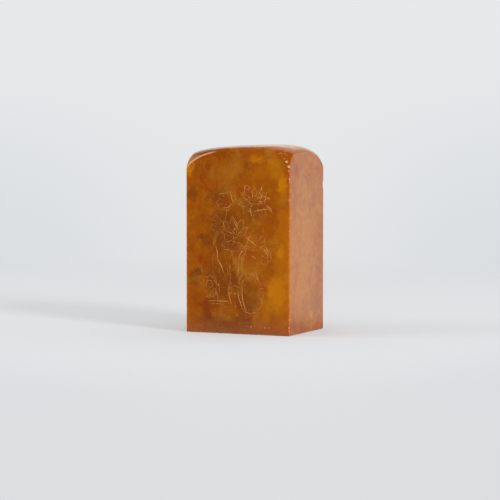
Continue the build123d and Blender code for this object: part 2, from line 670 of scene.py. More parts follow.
def petal(drawing, root, tip, fullness, lean, veins, weight):
    """A pointed petal from its root to its tip."""
    root, tip = np.array(root, float), np.array(tip, float)
    along = tip - root
    side = np.array([-along[1], along[0]])

    def line(shares, swells, offset, room=1.0):
        """A line up the petal, set aside from its middle."""
        return [root + along * share
                + side * (offset * swell * fullness * room + lean * share * (1 - share) * 2)
                for share, swell in zip(shares, swells)]

    left, right = (line(PETAL_SHARES, PETAL_SWELLS, hand) for hand in (1, -1))
    drawing.draw(left, weight)
    drawing.draw(right, weight)
    for index in range(veins):
        offset = (index + 1) / (veins + 1) * 2 - 1
        drawing.draw(line(VEIN_SHARES, VEIN_SWELLS, offset, VEIN_ROOM), weight * VEIN_WEIGHT, taper=0.5)
    drawing.cover(smooth_line(left) + smooth_line(right[::-1]))


# Points round a leaf's drawn rim and round the outline that hides what lies behind it
RIM_POINTS = 48
COVER_POINTS = 40
# Lines on a leaf. Each point has a turn in radians from the line's own angle, and a share of the way out.
RIB_TURNS = (0.10, 0.05, 0.0)
RIB_END = 0.86
FORK_ROOT = (0.02, 0.66)
FORK_ARMS = ((0.09, 0.80), (0.17, 0.92))
NICK = ((0.0, 0.97), (0.04, 0.90), (0.06, 0.84))
NICKS_PER_RIB = 3
FORK_WEIGHT = 0.5
NICK_WEIGHT = 0.55


def round_leaf(drawing, centre, reach, tilt, waves, depth, ribs, weight, hub=(0.0, 0.0),
               rib_start=0.3, rib_weight=0.6):
    """A round leaf with a waved rim and ribs that run out from its hub."""
    centre, reach, hub = (np.array(value, float) for value in (centre, reach, hub))
    swing = np.array([[math.cos(tilt), -math.sin(tilt)], [math.sin(tilt), math.cos(tilt)]])

    def at(angle, share):
        """The place on the leaf at an angle, a share of the way from its hub to its rim."""
        wave = 1 + depth * math.sin(waves * angle + 1.0) * share**3
        spoke = np.array([math.cos(angle), math.sin(angle)]) * reach * share * wave
        return centre + swing @ (spoke + hub * reach * (1 - share))

    drawing.draw([at(math.tau * index / RIM_POINTS, 1.0) for index in range(RIM_POINTS + 1)],
                 weight, taper=0.12)
    rib_shares = (rib_start, (rib_start + RIB_END) / 2, RIB_END)
    for index in range(ribs):
        angle = math.tau * (index + 0.5) / ribs
        drawing.draw([at(angle + turn, share) for turn, share in zip(RIB_TURNS, rib_shares)],
                     weight * rib_weight, taper=0.5)
        for hand in (-1, 1):
            arms = [at(angle + hand * turn, share) for turn, share in FORK_ARMS]
            drawing.draw([at(angle + FORK_ROOT[0], FORK_ROOT[1]), *arms], weight * FORK_WEIGHT, taper=0.5)
    nicks = ribs * NICKS_PER_RIB
    for index in range(nicks):
        angle = math.tau * index / nicks
        drawing.draw([at(angle + turn, share) for turn, share in NICK], weight * NICK_WEIGHT, taper=0.4)
    drawing.cover([at(math.tau * index / COVER_POINTS, 1.0) for index in range(COVER_POINTS)])


# A stem's lines take every fourth point of its middle line, and a prickle reaches this far to each side
STEM_STRIDE = 4
PRICKLE = ((0.12, 0.02), (0.12, 0.06))
PRICKLE_WEIGHT = 0.8
# The first prickle sits this many gaps up its stem, which is this much longer than one gap for each prickle
PRICKLE_START, PRICKLE_SPARE = 0.7, 0.4


def stem(drawing, points, gap=0.55, prickles=5, weight=0.8):
    """A stem as two lines side by side, with prickles between them."""
    line = np.array(smooth_line(points))
    side = across_line(line)
    for hand in (-0.5, 0.5):
        drawing.draw((line + side * gap * hand)[::STEM_STRIDE], weight, taper=0.15)
    for index in range(prickles):
        share = (index + PRICKLE_START) / (prickles + PRICKLE_SPARE)
        spot = line[int(share * (len(line) - 1))]
        drawing.draw([spot - PRICKLE[0], spot + PRICKLE[1]], weight * PRICKLE_WEIGHT, taper=0.4)


# Points of a small ring, and how uneven the ticks are
RING_POINTS = 10
TICK_RANGE = (0.7, 1.3)


def ring(drawing, centre, reach, weight):
    """A small closed ring."""
    angles = [math.tau * index / RING_POINTS for index in range(RING_POINTS + 1)]
    drawing.draw([(centre[0] + reach[0] * math.cos(angle), centre[1] + reach[1] * math.sin(angle))
                  for angle in angles], weight, taper=0.1)


def ticks(drawing, points, count, length, lean, weight):
    """Short strokes set along a line."""
    line = np.array(smooth_line(points))
    for index in range(count):
        spot = line[int((index + 0.5) / count * (len(line) - 1))]
        reach = length * drawing.dice.uniform(*TICK_RANGE)
        drawing.draw([spot, spot + np.array(lean) * reach],
                     weight * drawing.dice.uniform(*TICK_RANGE), taper=0.4)


# Petals: root, tip, fullness, lean, count of veins and weight
FRONT_PETALS = [
    ((5.0, 36.6), (5.2, 32.9), 0.34, 0.03, 3, 0.8), ((4.2, 36.8), (1.9, 34.0), 0.24, -0.05, 2, 0.8),
    ((5.9, 36.6), (8.9, 32.2), 0.20, 0.06, 2, 0.9),
]
BACK_PETALS = [
    ((6.5, 37.0), (10.4, 35.4), 0.15, -0.05, 2, 1.15), ((3.6, 37.1), (0.2, 36.6), 0.20, 0.06, 2, 0.8),
    ((6.6, 37.8), (9.4, 38.7), 0.24, 0.08, 2, 1.1), ((3.4, 38.0), (1.2, 40.0), 0.24, -0.08, 2, 0.8),
    ((4.4, 38.6), (2.5, 42.2), 0.24, 0.08, 2, 1.2), ((6.1, 38.6), (7.5, 41.0), 0.28, -0.05, 2, 1.1),
    ((5.2, 38.8), (4.9, 42.0), 0.26, 0.02, 2, 1.0), ((6.6, 38.2), (9.0, 40.2), 0.24, 0.02, 1, 0.8),
]
HALF_OPEN_PETALS = [
    ((-0.7, 28.4), (-1.6, 33.3), 0.20, 0.05, 3, 1.1), ((-0.3, 28.4), (1.6, 32.6), 0.22, -0.06, 2, 1.0),
    ((-1.3, 28.5), (-4.3, 31.9), 0.22, 0.08, 2, 1.0), ((0.0, 28.3), (3.4, 30.2), 0.18, -0.08, 2, 0.9),
    ((-1.4, 28.1), (-5.3, 29.3), 0.17, 0.06, 2, 0.9), ((0.2, 28.0), (2.7, 28.4), 0.18, -0.04, 1, 0.8),
]
# Places of the seeds in the pod, and the size of one
SEEDS = [(3.9, 37.6), (4.6, 37.9), (4.7, 37.3), (5.4, 37.9), (5.6, 37.3), (6.2, 37.7)]
SEED_SIZE = (0.16, 0.13)
# Blades of water grass, bold and fine: root, tip, bend and weight
BLADES = [
    ((2.7, 6.2), (1.4, 13.6), 0.06, 1.9), ((1.4, 7.8), (0.0, 11.8), 0.03, 1.45),
    ((-1.9, 8.4), (-2.9, 12.4), 0.04, 1.4), ((-4.4, 17.4), (-6.3, 21.0), -0.05, 2.0),
    ((-6.2, 21.2), (-6.8, 24.6), -0.06, 1.5), ((-3.4, 17.9), (-5.2, 22.4), 0.04, 0.8),
    ((-0.5, 7.0), (-0.9, 11.0), 0.03, 0.9), ((0.6, 13.0), (-2.6, 14.6), 0.05, 0.8),
    ((-1.0, 13.4), (-5.0, 13.0), 0.04, 0.7), ((-4.6, 9.4), (-5.8, 13.4), 0.05, 0.8),
    ((-6.0, 9.2), (-6.4, 12.2), 0.05, 0.7), ((-2.4, 17.6), (-2.0, 22.8), 0.03, 1.0),
    ((0.3, 17.2), (0.2, 22.6), -0.03, 1.0), ((0.6, 21.4), (1.6, 23.6), 0.12, 1.1),
    ((1.2, 23.5), (3.2, 21.2), 0.12, 1.1),
]
# Water lines: left end, right end, height and weight, and how far one sinks and swells on its way
RIPPLES = [
    (-9.4, -3.0, 9.15, 1.25), (-8.0, -4.4, 8.3, 0.8), (-6.2, -3.2, 7.5, 0.7),
    (-2.6, 0.4, 7.7, 0.7), (0.9, 2.2, 7.2, 0.6), (-9.9, -7.4, 10.3, 0.7),
]
RIPPLE_SINK, RIPPLE_SWELL = 0.05, 0.08
# Deep single cuts: start, end and weight, and how far the middle of each is set off
BOLD_CUTS = [
    ((5.3, 34.8), (8.7, 35.4), 1.4), ((6.6, 40.4), (7.6, 38.5), 1.4), ((8.7, 39.4), (8.3, 36.9), 1.3),
    ((9.2, 36.1), (10.6, 34.6), 1.3), ((3.8, 35.6), (4.4, 33.4), 1.3), ((8.7, 24.7), (9.6, 23.2), 1.4),
    ((4.4, 22.2), (5.5, 21.6), 1.3), ((2.5, 27.4), (5.7, 25.0), 1.6),
]
BOLD_BOW = (0.08, 0.06)


def main_bloom(drawing):
    """The open bloom at the top, with its seed pod."""
    for values in FRONT_PETALS:
        petal(drawing, *values)
    drawing.draw([(3.3, 37.6), (4.1, 36.9), (5.2, 36.7), (6.3, 36.9), (7.0, 37.7)], 1.0)
    drawing.draw([(3.3, 37.6), (4.2, 38.3), (5.2, 38.4), (6.2, 38.2), (7.0, 37.7)], 0.8)
    for seed in SEEDS:
        ring(drawing, seed, SEED_SIZE, 0.8)
    ticks(drawing, [(3.2, 38.1), (5.2, 38.9), (7.1, 38.1)], count=11, length=0.5, lean=(0.1, 1.0), weight=0.9)
    for values in BACK_PETALS:
        petal(drawing, *values)


def half_open_bloom(drawing):
    """The smaller bloom in the middle, seen from the side."""
    drawing.draw([(-1.6, 33.0), (-0.7, 31.0), (0.3, 29.6)], 1.35, taper=0.35, over=True)
    for values in HALF_OPEN_PETALS:
        petal(drawing, *values)
    ring(drawing, (-0.7, 27.6), (0.8, 0.5), 0.8)


def leaves(drawing):
    """The leaves, from the great one at the foot to the curled one beside the main bloom."""
    round_leaf(drawing, (4.1, 11.2), (3.9, 5.1), tilt=-0.08, waves=9, depth=0.03, ribs=9, weight=0.6,
               hub=(-0.1, 0.25), rib_start=0.62, rib_weight=0.5)
    drawing.draw([(0.1, 14.9), (1.4, 17.0), (3.3, 17.6), (5.0, 17.1), (6.2, 15.6)], 0.9, over=True)
    ticks(drawing, [(0.6, 15.2), (1.8, 16.5), (3.4, 16.9), (4.9, 16.3), (5.9, 15.2)],
          count=15, length=0.55, lean=(0.05, 1.0), weight=0.9)
    drawing.draw([(5.7, 17.4), (6.2, 16.0), (6.6, 14.9)], 1.3, taper=0.4, over=True)
    for index in range(5):
        drawing.draw([(6.5 + 0.1 * index, 15.0 - 0.5 * index), (8.1, 15.1 - 0.5 * index)], 0.7, over=True)
    drawing.draw([(2.4, 6.4), (4.2, 5.9), (6.2, 6.6)], 0.8, taper=0.3, over=True)
    round_leaf(drawing, (-3.6, 37.4), (3.0, 2.4), tilt=0.35, waves=7, depth=0.08, ribs=9, weight=0.75,
               hub=(0.3, -0.2))
    drawing.draw([(-2.3, 40.2), (-1.9, 38.5), (-1.4, 36.9)], 1.7, taper=0.3, over=True)
    drawing.draw([(-4.1, 35.6), (-3.1, 35.6), (-2.0, 36.5)], 1.4, taper=0.3, over=True)
    round_leaf(drawing, (-1.7, 24.8), (3.6, 1.4), tilt=-0.10, waves=8, depth=0.10, ribs=11, weight=0.9,
               hub=(0.0, -0.5))
    round_leaf(drawing, (5.7, 26.0), (2.9, 2.2), tilt=0.5, waves=7, depth=0.09, ribs=9, weight=0.75,
               hub=(-0.3, -0.3))
    drawing.draw([(2.9, 27.8), (4.2, 26.9), (5.6, 25.4), (7.0, 24.6)], 1.2, taper=0.3, over=True)
    round_leaf(drawing, (-6.4, 30.6), (1.9, 2.6), tilt=0.3, waves=6, depth=0.09, ribs=8, weight=0.6,
               hub=(0.2, -0.3))
    round_leaf(drawing, (-8.6, 13.2), (2.0, 3.1), tilt=0.15, waves=6, depth=0.09, ribs=8, weight=0.75,
               hub=(0.4, -0.2))
    drawing.draw([(-10.0, 13.2), (-9.3, 14.8), (-8.1, 14.7), (-7.7, 13.4), (-8.7, 12.8)], 1.0, over=True)
    round_leaf(drawing, (8.7, 21.8), (1.5, 2.1), tilt=-0.4, waves=6, depth=0.1, ribs=7, weight=0.75)
    drawing.draw([(8.2, 24.2), (9.3, 22.6), (9.1, 20.2)], 1.2, taper=0.3, over=True)


def grasses(drawing):
    """The blades of water grass, one stroke each."""
    for root, tip, bend, weight in BLADES:
        root, tip = np.array(root), np.array(tip)
        along = tip - root
        middle = (root + tip) / 2 + np.array([-along[1], along[0]]) * bend
        drawing.draw([root, middle, tip], weight, taper=0.45, over=True)


def water_lines(drawing):
    """The water lines between the leaves."""
    for left, right, level, weight in RIPPLES:
        middle = ((left + right) / 2, level + RIPPLE_SWELL)
        drawing.draw([(left, level - RIPPLE_SINK), middle, (right, level)], weight, taper=0.3)


def bold_cuts(drawing):
    """The deep single cuts that the knife leaves across the blooms and leaves."""
    for start, end, weight in BOLD_CUTS:
        middle = ((start[0] + end[0]) / 2 + BOLD_BOW[0], (start[1] + end[1]) / 2 + BOLD_BOW[1])
        drawing.draw([start, middle, end], weight, taper=0.4, over=True)


def lotus_spray():
    """The whole spray: grasses, leaves, blooms, stems and water."""
    drawing = Drawing(SPRAY_SEED)
    grasses(drawing)
    leaves(drawing)
    main_bloom(drawing)
    half_open_bloom(drawing)
    stem(drawing, [(2.4, 16.4), (1.4, 19.5), (2.4, 24.0), (4.4, 28.5), (5.0, 33.0)])
    stem(drawing, [(0.6, 13.5), (-0.2, 18.0), (-1.5, 23.0), (-0.9, 27.6)])
    stem(drawing, [(-2.2, 11.0), (-2.8, 18.0), (-4.4, 26.0), (-3.6, 34.8)], prickles=8)
    stem(drawing, [(-5.9, 9.6), (-7.3, 18.0), (-7.4, 24.5), (-6.4, 28.0)], gap=0.45, prickles=6, weight=0.7)
    stem(drawing, [(6.4, 17.4), (8.3, 19.6)], gap=0.4, prickles=1, weight=0.7)
    water_lines(drawing)
    bold_cuts(drawing)
    return drawing.strokes


# How wide a line is at its tips, as a share of its full width
TIP_SHARE = 0.35


def spray_lines(spray):
    """The spray's strokes in metres on the face. Each has its half widths and how fresh it is."""
    lines = []
    for points, weight, taper, fresh in lotus_spray():
        line = resample(points * MM, spray.step)
        place = np.linspace(0, 1, len(line))
        rise = np.clip(np.minimum(place, 1 - place) / taper, 0, 1)
        half = spray.line_width / 2 * weight * (TIP_SHARE + (1 - TIP_SHARE) * rise)
        lines.append((line, half, fresh))
    return lines


# Filling the two open panels

# The triangulation works in millimetres. It keeps what lies inside the outline, and merges points this near.
PER_METRE = 1 / MM
KEEP_INSIDE = 1
MERGED_NEAR = 1e-4


def triangulate(points, edges, outline):
    """Triangles that fill an outline and keep to the given edges. Returns points and triangles."""
    vectors = [Vector(point) for point in points]
    made = delaunay_2d_cdt(vectors, edges, [outline], KEEP_INSIDE, MERGED_NEAR, False)
    return np.array([tuple(point) for point in made[0]]), [list(face) for face in made[2]]


# Loose points between the strokes: their seed, their spacing and the room kept round each, as shares of the
# border round the spray, and how far each strays in millimetres
FILL_SEED = 7
FILL_SPACING = 0.7
FILL_ROOM = 0.35
FILL_STRAY = 0.2


def engraved_panel(loop, lines, border):
    """Fills the panel of the wide face, with mesh lines along each incised stroke.

    loop holds the panel's corners and edge points, across and up, in metres."""
    outline = loop * PER_METRE
    points = [tuple(point) for point in outline]
    edges = []
    for line, half, fresh in lines:
        side = across_line(line)
        for hand in (-1.0, 0.0, 1.0):
            start = len(points)
            points += [tuple(point) for point in (line + side * (half * hand)[:, None]) * PER_METRE]
            edges += [(index, index + 1) for index in range(start, len(points) - 1)]
    taken = np.concatenate([line for line, half, fresh in lines] + [loop]) * PER_METRE
    low, high = outline.min(0), outline.max(0)
    spacing = border * PER_METRE
    dice = random.Random(FILL_SEED)
    for u in np.arange(low[0] + spacing / 2, high[0], spacing * FILL_SPACING):
        for v in np.arange(low[1] + spacing / 2, high[1], spacing * FILL_SPACING):
            spot = np.array([place + dice.uniform(-FILL_STRAY, FILL_STRAY) for place in (u, v)])
            clear = np.min(np.linalg.norm(taken - spot, axis=1)) > spacing * FILL_ROOM
            if clear and inside(spot, outline):
                points.append(tuple(spot))
    filled, triangles = triangulate(points, edges, list(range(len(outline))))
    return filled * MM, triangles


# The path of one fret, from its outer corner inwards, as shares of its width and depth
FRET_PATH = [(0, 0), (0, 1), (1, 1), (1, 0), (0.25, 0), (0.25, 0.75),
             (0.75, 0.75), (0.75, 0.25), (0.5, 0.25), (0.5, 0.5)]
# A cut wall: how far out from the raised edge, as shares of its run, and how much of its depth it has fallen
WALL_PLACES = (-0.35, 0.0, 1.0, 2.0)
WALL_FALLS = (0.0, 0.04, 0.88, 1.0)
# Narrowest and widest gap between mesh lines on the print face, and how far its panel stops inside the loop
RELIEF_FINEST = 0.02 * MM
RELIEF_WIDEST = 0.42 * MM
RELIEF_INSET = 0.45 * MM
# Bumps that the knife leaves on the sunk ground, size and seed of each, their middle and their height
GROUND_BUMPS = ((1.1 * MM, 3), (0.45 * MM, 4))
BUMP_MIDDLE = 0.6
BUMP_HEIGHT = 0.09 * MM
# How the cut edges wander across and along, size and seed, and over what distance that fades at the border
KNIFE_WAVES = ((3.1 * MM, 5), (2.7 * MM, 6))
WANDER_ROOM = 0.5 * MM


def fret_bars(face):
    """The raised bars of all the frets, as middle and half size."""
    field = np.array([WIDTH, DEPTH]) - 2 * face.rim_width - face.channel_width
    cell = field / (face.columns, face.rows)
    span = cell - face.channel_width - face.stroke_width
    bars = []
    for column in range(face.columns):
        for row in range(face.rows):
            middle = (np.array([column, row]) + 0.5) * cell - field / 2
            turn = np.array([1 - 2 * (column % 2), 1 - 2 * (row % 2)])
            path = [middle + turn * (np.array(place) - 0.5) * span for place in FRET_PATH]
            for start, end in zip(path, path[1:]):
                bars.append(((start + end) / 2, np.abs(end - start) / 2 + face.stroke_width / 2))
    return bars


def clear_of_relief(x, y, face):
    """How far places on the print face lie outside the rim and the frets, below zero inside them."""
    inner = np.array([WIDTH, DEPTH]) / 2 - face.rim_width
    clear = np.minimum(inner[0] - np.abs(x), inner[1] - np.abs(y))
    for middle, half in fret_bars(face):
        out_x, out_y = np.abs(x - middle[0]) - half[0], np.abs(y - middle[1]) - half[1]
        outside = np.hypot(np.maximum(out_x, 0), np.maximum(out_y, 0))
        clear = np.minimum(clear, np.where(outside > 0, outside, np.maximum(out_x, out_y)))
    return clear


def relief_lines(axis, face, low, high):
    """Mesh lines across the print face: a few at each cut edge, and no gap wider than the widest."""
    edges = {round(edge, 7) for middle, half in fret_bars(face)
             for edge in (middle[axis] - half[axis], middle[axis] + half[axis])}
    rim = (WIDTH, DEPTH)[axis] / 2 - face.rim_width
    edges |= {round(rim, 7), round(-rim, 7)}
    offsets = [face.wall_run * place for place in WALL_PLACES]
    places = sorted({edge + hand * offset for edge in edges for offset in offsets for hand in (-1, 1)})
    kept = [low]
    for place in places:
        if low < place < high and place - kept[-1] > RELIEF_FINEST:
            kept.append(place)
    kept.append(high)
    full = [kept[0]]
    for start, end in zip(kept, kept[1:]):
        count = math.ceil((end - start) / RELIEF_WIDEST)
        full += [start + (end - start) * index / count for index in range(1, count + 1)]
    return np.array(full)


# Waves that are added up in a smooth noise, and their least and greatest rate
NOISE_WAVES = 9
NOISE_RATES = (0.6, 1.9)


def value_noise(points, size, seed):
    """Smooth noise about zero at points in the plane."""
    dice = np.random.default_rng(seed)
    angles = dice.uniform(0, math.tau, NOISE_WAVES)
    shifts = dice.uniform(0, math.tau, NOISE_WAVES)
    rates = dice.uniform(*NOISE_RATES, NOISE_WAVES) / size
    total = np.zeros(len(points))
    for angle, shift, rate in zip(angles, shifts, rates):
        along = points[:, 0] * math.cos(angle) + points[:, 1] * math.sin(angle)
        total += np.sin(math.tau * rate * along + shift)
    return total / (NOISE_WAVES / 2)


def relief_panel(loop, face):
    """Fills the panel of the print face with the raised frets and the sunk ground.

    loop holds the panel's edge points, across and deep, in metres. Returns the points, the quads and the
    panel's own edge."""
    low, high = loop.min(0) + RELIEF_INSET, loop.max(0) - RELIEF_INSET
    xs, ys = (relief_lines(axis, face, low[axis], high[axis]) for axis in range(2))
    grid_x, grid_y = np.meshgrid(xs, ys, indexing="ij")
    flat = np.stack([grid_x.ravel(), grid_y.ravel()], 1)
    clear = clear_of_relief(flat[:, 0], flat[:, 1], face)
    walls = [face.wall_run * place for place in WALL_PLACES]
    height = np.interp(clear, walls, WALL_FALLS) * face.ground_depth
    rough = sum(value_noise(flat, size, seed) for size, seed in GROUND_BUMPS) / len(GROUND_BUMPS)
    height += np.where(clear > face.wall_run, (rough - BUMP_MIDDLE) * BUMP_HEIGHT, 0)
    edge_room = np.clip(np.minimum(flat - low, high - flat).min(1) / WANDER_ROOM, 0, 1)
    wander = np.stack([value_noise(flat, size, seed) for size, seed in KNIFE_WAVES], 1)
    moved = flat + wander * (face.knife_wander * edge_room)[:, None]
    points = np.column_stack([moved, height])
    columns, rows = len(xs), len(ys)
    quads = [[i * rows + j, i * rows + j + 1, (i + 1) * rows + j + 1, (i + 1) * rows + j]
             for i in range(columns - 1) for j in range(rows - 1)]
    ring = [i * rows for i in range(columns - 1)] + [(columns - 1) * rows + j for j in range(rows - 1)]
    ring += [i * rows + rows - 1 for i in range(columns - 1, 0, -1)] + list(range(rows - 1, 0, -1))
    return points, quads, flat[ring]


def ring_fill(outer, inner):
    """Triangles between an outer and an inner loop in the plane."""
    points = [tuple(point) for point in np.concatenate([outer, inner]) * PER_METRE]
    first = len(outer)
    edges = [(first + index, first + (index + 1) % len(inner)) for index in range(len(inner))]
    filled, triangles = triangulate(points, edges, list(range(first)))
    kept = [face for face in triangles if not inside(filled[face].mean(0), inner * PER_METRE)]
    return filled * MM, kept


def turn_faces(points, faces, axis, towards):
    """Turns each flat face so that its normal points along an axis, up or down it."""
    turned = []
    for face in faces:
        a, b, c = (points[index] for index in face[:3])
        normal = np.cross(b - a, c - a)
        turned.append(face if normal[axis] * towards > 0 else face[::-1])
    return turned


# The engraved panel's top as a share of the height, and its foot in borders. How far the relief's panel
# stays inside the foot, and how near points are merged.
PANEL_TOP = 0.845
PANEL_FOOT = 2
FOOT_INSET = 0.3 * MM
MERGE_DISTANCE = 0.002 * MM


def stone_mesh(shape, face, lines, border):
    """The whole stone as one closed mesh: block, dome, engraved panel and print face."""
    grid = BlockGrid(shape)
    front_skip = (*grid.span(0, -WIDTH / 2 + border, WIDTH / 2 - border),
                  *grid.span(2, border * PANEL_FOOT, HEIGHT * PANEL_TOP))
    foot_skip = (*grid.span(0, -WIDTH / 2 + FOOT_INSET, WIDTH / 2 - FOOT_INSET),
                 *grid.span(1, -DEPTH / 2 + FOOT_INSET, DEPTH / 2 - FOOT_INSET))
    bm = bmesh.new()

    def add(points, faces):
        """Adds faces between points to the mesh."""
        made = [bm.verts.new(point) for point in points]
        for indices in faces:
            bm.faces.new([made[index] for index in indices])

    quads = grid.patch(0, 0) + grid.patch(0, 1) + grid.patch(1, 1) + grid.patch(2, 1)
    quads += grid.patch(1, 0, front_skip) + grid.patch(2, 0, foot_skip)
    add(grid.points, quads)

    filled, triangles = engraved_panel(grid.loop(1, front_skip)[:, (0, 2)], lines, border)
    points = np.column_stack([filled[:, 0], np.full(len(filled), -DEPTH / 2), filled[:, 1]])
    add(points, turn_faces(points, triangles, 1, -1))

    foot_loop = grid.loop(2, foot_skip)[:, :2]
    relief, relief_quads, inner = relief_panel(foot_loop, face)
    add(relief, turn_faces(relief, relief_quads, 2, -1))
    ring_points, triangles = ring_fill(foot_loop, inner)
    points = np.column_stack([ring_points, np.zeros(len(ring_points))])
    add(points, turn_faces(points, triangles, 2, -1))

    bmesh.ops.remove_doubles(bm, verts=bm.verts, dist=MERGE_DISTANCE)
    mesh = bpy.data.meshes.new("stone_blank")
    bm.to_mesh(mesh)
    bm.free()
    return mesh


# Helper objects for the geometry nodes

def add_object(name, data):
    """Adds an object to the scene."""
    made = bpy.data.objects.new(name, data)
    bpy.context.collection.objects.link(made)
    return made


def keep_values(mesh, kind, field, values):
    """Keeps named lists of values on a mesh's points."""
    for name, numbers in values.items():
        attribute = mesh.attributes.new(name, kind, "POINT")
        attribute.data.foreach_set(field, np.array(numbers, np.float32).ravel())


def strokes_object(lines):
    """The incised strokes as lines that lie on the wide face, with each point's half width and freshness."""
    points, edges, halves, freshnesses = [], [], [], []
    for line, half, fresh in lines:
        start = len(points)
        points += [(place[0], -DEPTH / 2, place[1]) for place in line]
        edges += [(index, index + 1) for index in range(start, len(points) - 1)]
        halves += list(half)
        freshnesses += [fresh] * len(line)
    mesh = bpy.data.meshes.new("spray_strokes")
    mesh.from_pydata(points, edges, [])
    keep_values(mesh, "FLOAT", "value", {"half_width": halves, "fresh": freshnesses})
    return add_object("spray_strokes", mesh)


# Chips on and near the worn edges: place as shares of the width, depth and height, and size in
# millimetres. Where the height is None, the chip is on the domed top.
CHIPS = [
    ((0.948, 0.0, None), (0.20, 0.20, 0.22)), ((0.922, 0.0, None), (0.17, 0.12, 0.13)),
    ((0.94, 0.05, None), (0.14, 0.14, 0.14)), ((0.915, 0.03, None), (0.12, 0.14, 0.12)),
    ((0.90, 0.02, None), (0.14, 0.14, 0.12)), ((0.99, 0.0, 0.872), (0.18, 0.18, 0.2)),
    ((0.955, 0.04, None), (0.24, 0.10, 0.10)), ((0.935, 0.0, 0.948), (0.12, 0.10, 0.20)),
    ((0.945, 0.0, 0.905), (0.14, 0.10, 0.12)), ((0.90, 0.0, 0.957), (0.10, 0.10, 0.14)),
    ((1.0, 0.0, 0.828), (0.26, 0.24, 0.50)), ((1.0, 0.0, 0.812), (0.17, 0.22, 0.34)),
    ((1.0, 0.0, 0.719), (0.20, 0.22, 0.34)), ((1.0, 0.0, 0.554), (0.22, 0.26, 0.30)),
    ((1.0, 0.0, 0.546), (0.15, 0.15, 0.22)), ((1.0, 0.0, 0.635), (0.10, 0.10, 0.2)),
    ((1.0, 0.0, 0.41), (0.14, 0.14, 0.2)), ((1.0, 0.0, 0.29), (0.12, 0.12, 0.2)),
    ((1.0, 0.0, 0.16), (0.14, 0.14, 0.2)), ((1.0, 0.0, 0.087), (0.24, 0.24, 0.36)),
    ((1.0, 0.0, 0.042), (0.27, 0.25, 0.40)), ((1.0, 0.0, 0.024), (0.20, 0.26, 0.42)),
    ((1.0, 0.0, 0.0), (0.3, 0.3, 0.3)),
    ((0.63, 0.0, 0.042), (0.30, 0.12, 0.10)), ((0.765, 0.0, 0.039), (0.34, 0.14, 0.12)),
    ((0.80, 0.0, 0.040), (0.2, 0.12, 0.1)), ((0.59, 0.0, 0.043), (0.14, 0.10, 0.08)),
    ((0.0, 0.0, 0.42), (0.24, 0.24, 0.4)), ((0.0, 0.0, 0.66), (0.2, 0.2, 0.3)),
    ((0.0, 1.0, 0.3), (0.3, 0.3, 0.5)), ((0.0, 1.0, 0.62), (0.25, 0.25, 0.4)),
    ((1.0, 1.0, 0.33), (0.26, 0.26, 0.4)), ((0.3, 0.0, 0.0), (0.3, 0.2, 0.2)),
    ((0.71, 0.0, 0.0), (0.4, 0.2, 0.2)), ((0.9, 1.0, 0.0), (0.4, 0.3, 0.3)),
    ((1.0, 0.55, 0.0), (0.25, 0.4, 0.25)), ((0.0, 0.4, 0.0), (0.3, 0.4, 0.3)),
    ((0.45, 1.0, None), (0.4, 0.2, 0.2)), ((0.0, 0.62, None), (0.2, 0.4, 0.2)),
]
# Shallow dents: place and size as above, and how far off the edge the middle of the lump lies that leaves
# them, in millimetres. They are the long notch on the back edge at the right, and the two hollows of the
# bruise on the corner above the spray.
DENTS = [
    ((1.0, 1.0, 0.777), (1.0, 1.0, 1.9), (0.30, 0.30, 0.0)),
    ((0.972, 0.0, None), (0.78, 0.60, 0.40), (0.00, -0.30, -0.10)),
    ((0.992, 0.0, None), (0.72, 0.62, 0.46), (0.05, -0.30, -0.50)),
]
CHIP_SEED = 11
# How far a chip may lean, in radians. One as deep as it is wide is spun freely, and a dent isn't leant.
CHIP_LEAN = 0.5


def chips_object(shape):
    """The places of the chips and dents, with each one's size and turn."""
    dice = random.Random(CHIP_SEED)
    places, sizes, turns = [], [], []
    for (x, y, z), size, out in [(*chip, (0.0, 0.0, 0.0)) for chip in CHIPS] + DENTS:
        x, y = (x - 0.5) * WIDTH, (y - 0.5) * DEPTH
        top = HEIGHT - float(top_drop(np.array(x), np.array(y), shape))
        places.append(np.array([x, y, top if z is None else z * HEIGHT]) + np.array(out) * MM)
        sizes.append([axis * MM for axis in size])
        lean = 0.0 if any(out) else CHIP_LEAN
        spin = math.pi if size[0] == size[1] else lean
        turns.append([dice.uniform(-lean, lean), dice.uniform(-lean, lean), dice.uniform(-spin, spin)])
    mesh = bpy.data.meshes.new("chip_places")
    mesh.from_pydata(places, [], [])
    keep_values(mesh, "FLOAT_VECTOR", "vector", {"size": sizes, "turn": turns})
    return add_object("chip_places", mesh)


# How rubbed the edges are: the upright edge at the front right, the foot and the other upright edges
HANDLED_WEAR, FOOT_WEAR, UPRIGHT_WEAR = 0.12, 0.30, 0.12
# How far in from an edge the wear reaches, in radii of the worn edge
WEAR_REACH = 1.05
# The ridge above the wide side carries a painted highlight, with some wear, at its left end: none at the
# first of these places and full from the second, in millimetres across. Away from its line it is full up to
# the core and none past the reach, in radii of the worn edge.
RIDGE_FADE = (-6.2, -8.6)
RIDGE_CORE, RIDGE_REACH = 0.4, 1.4


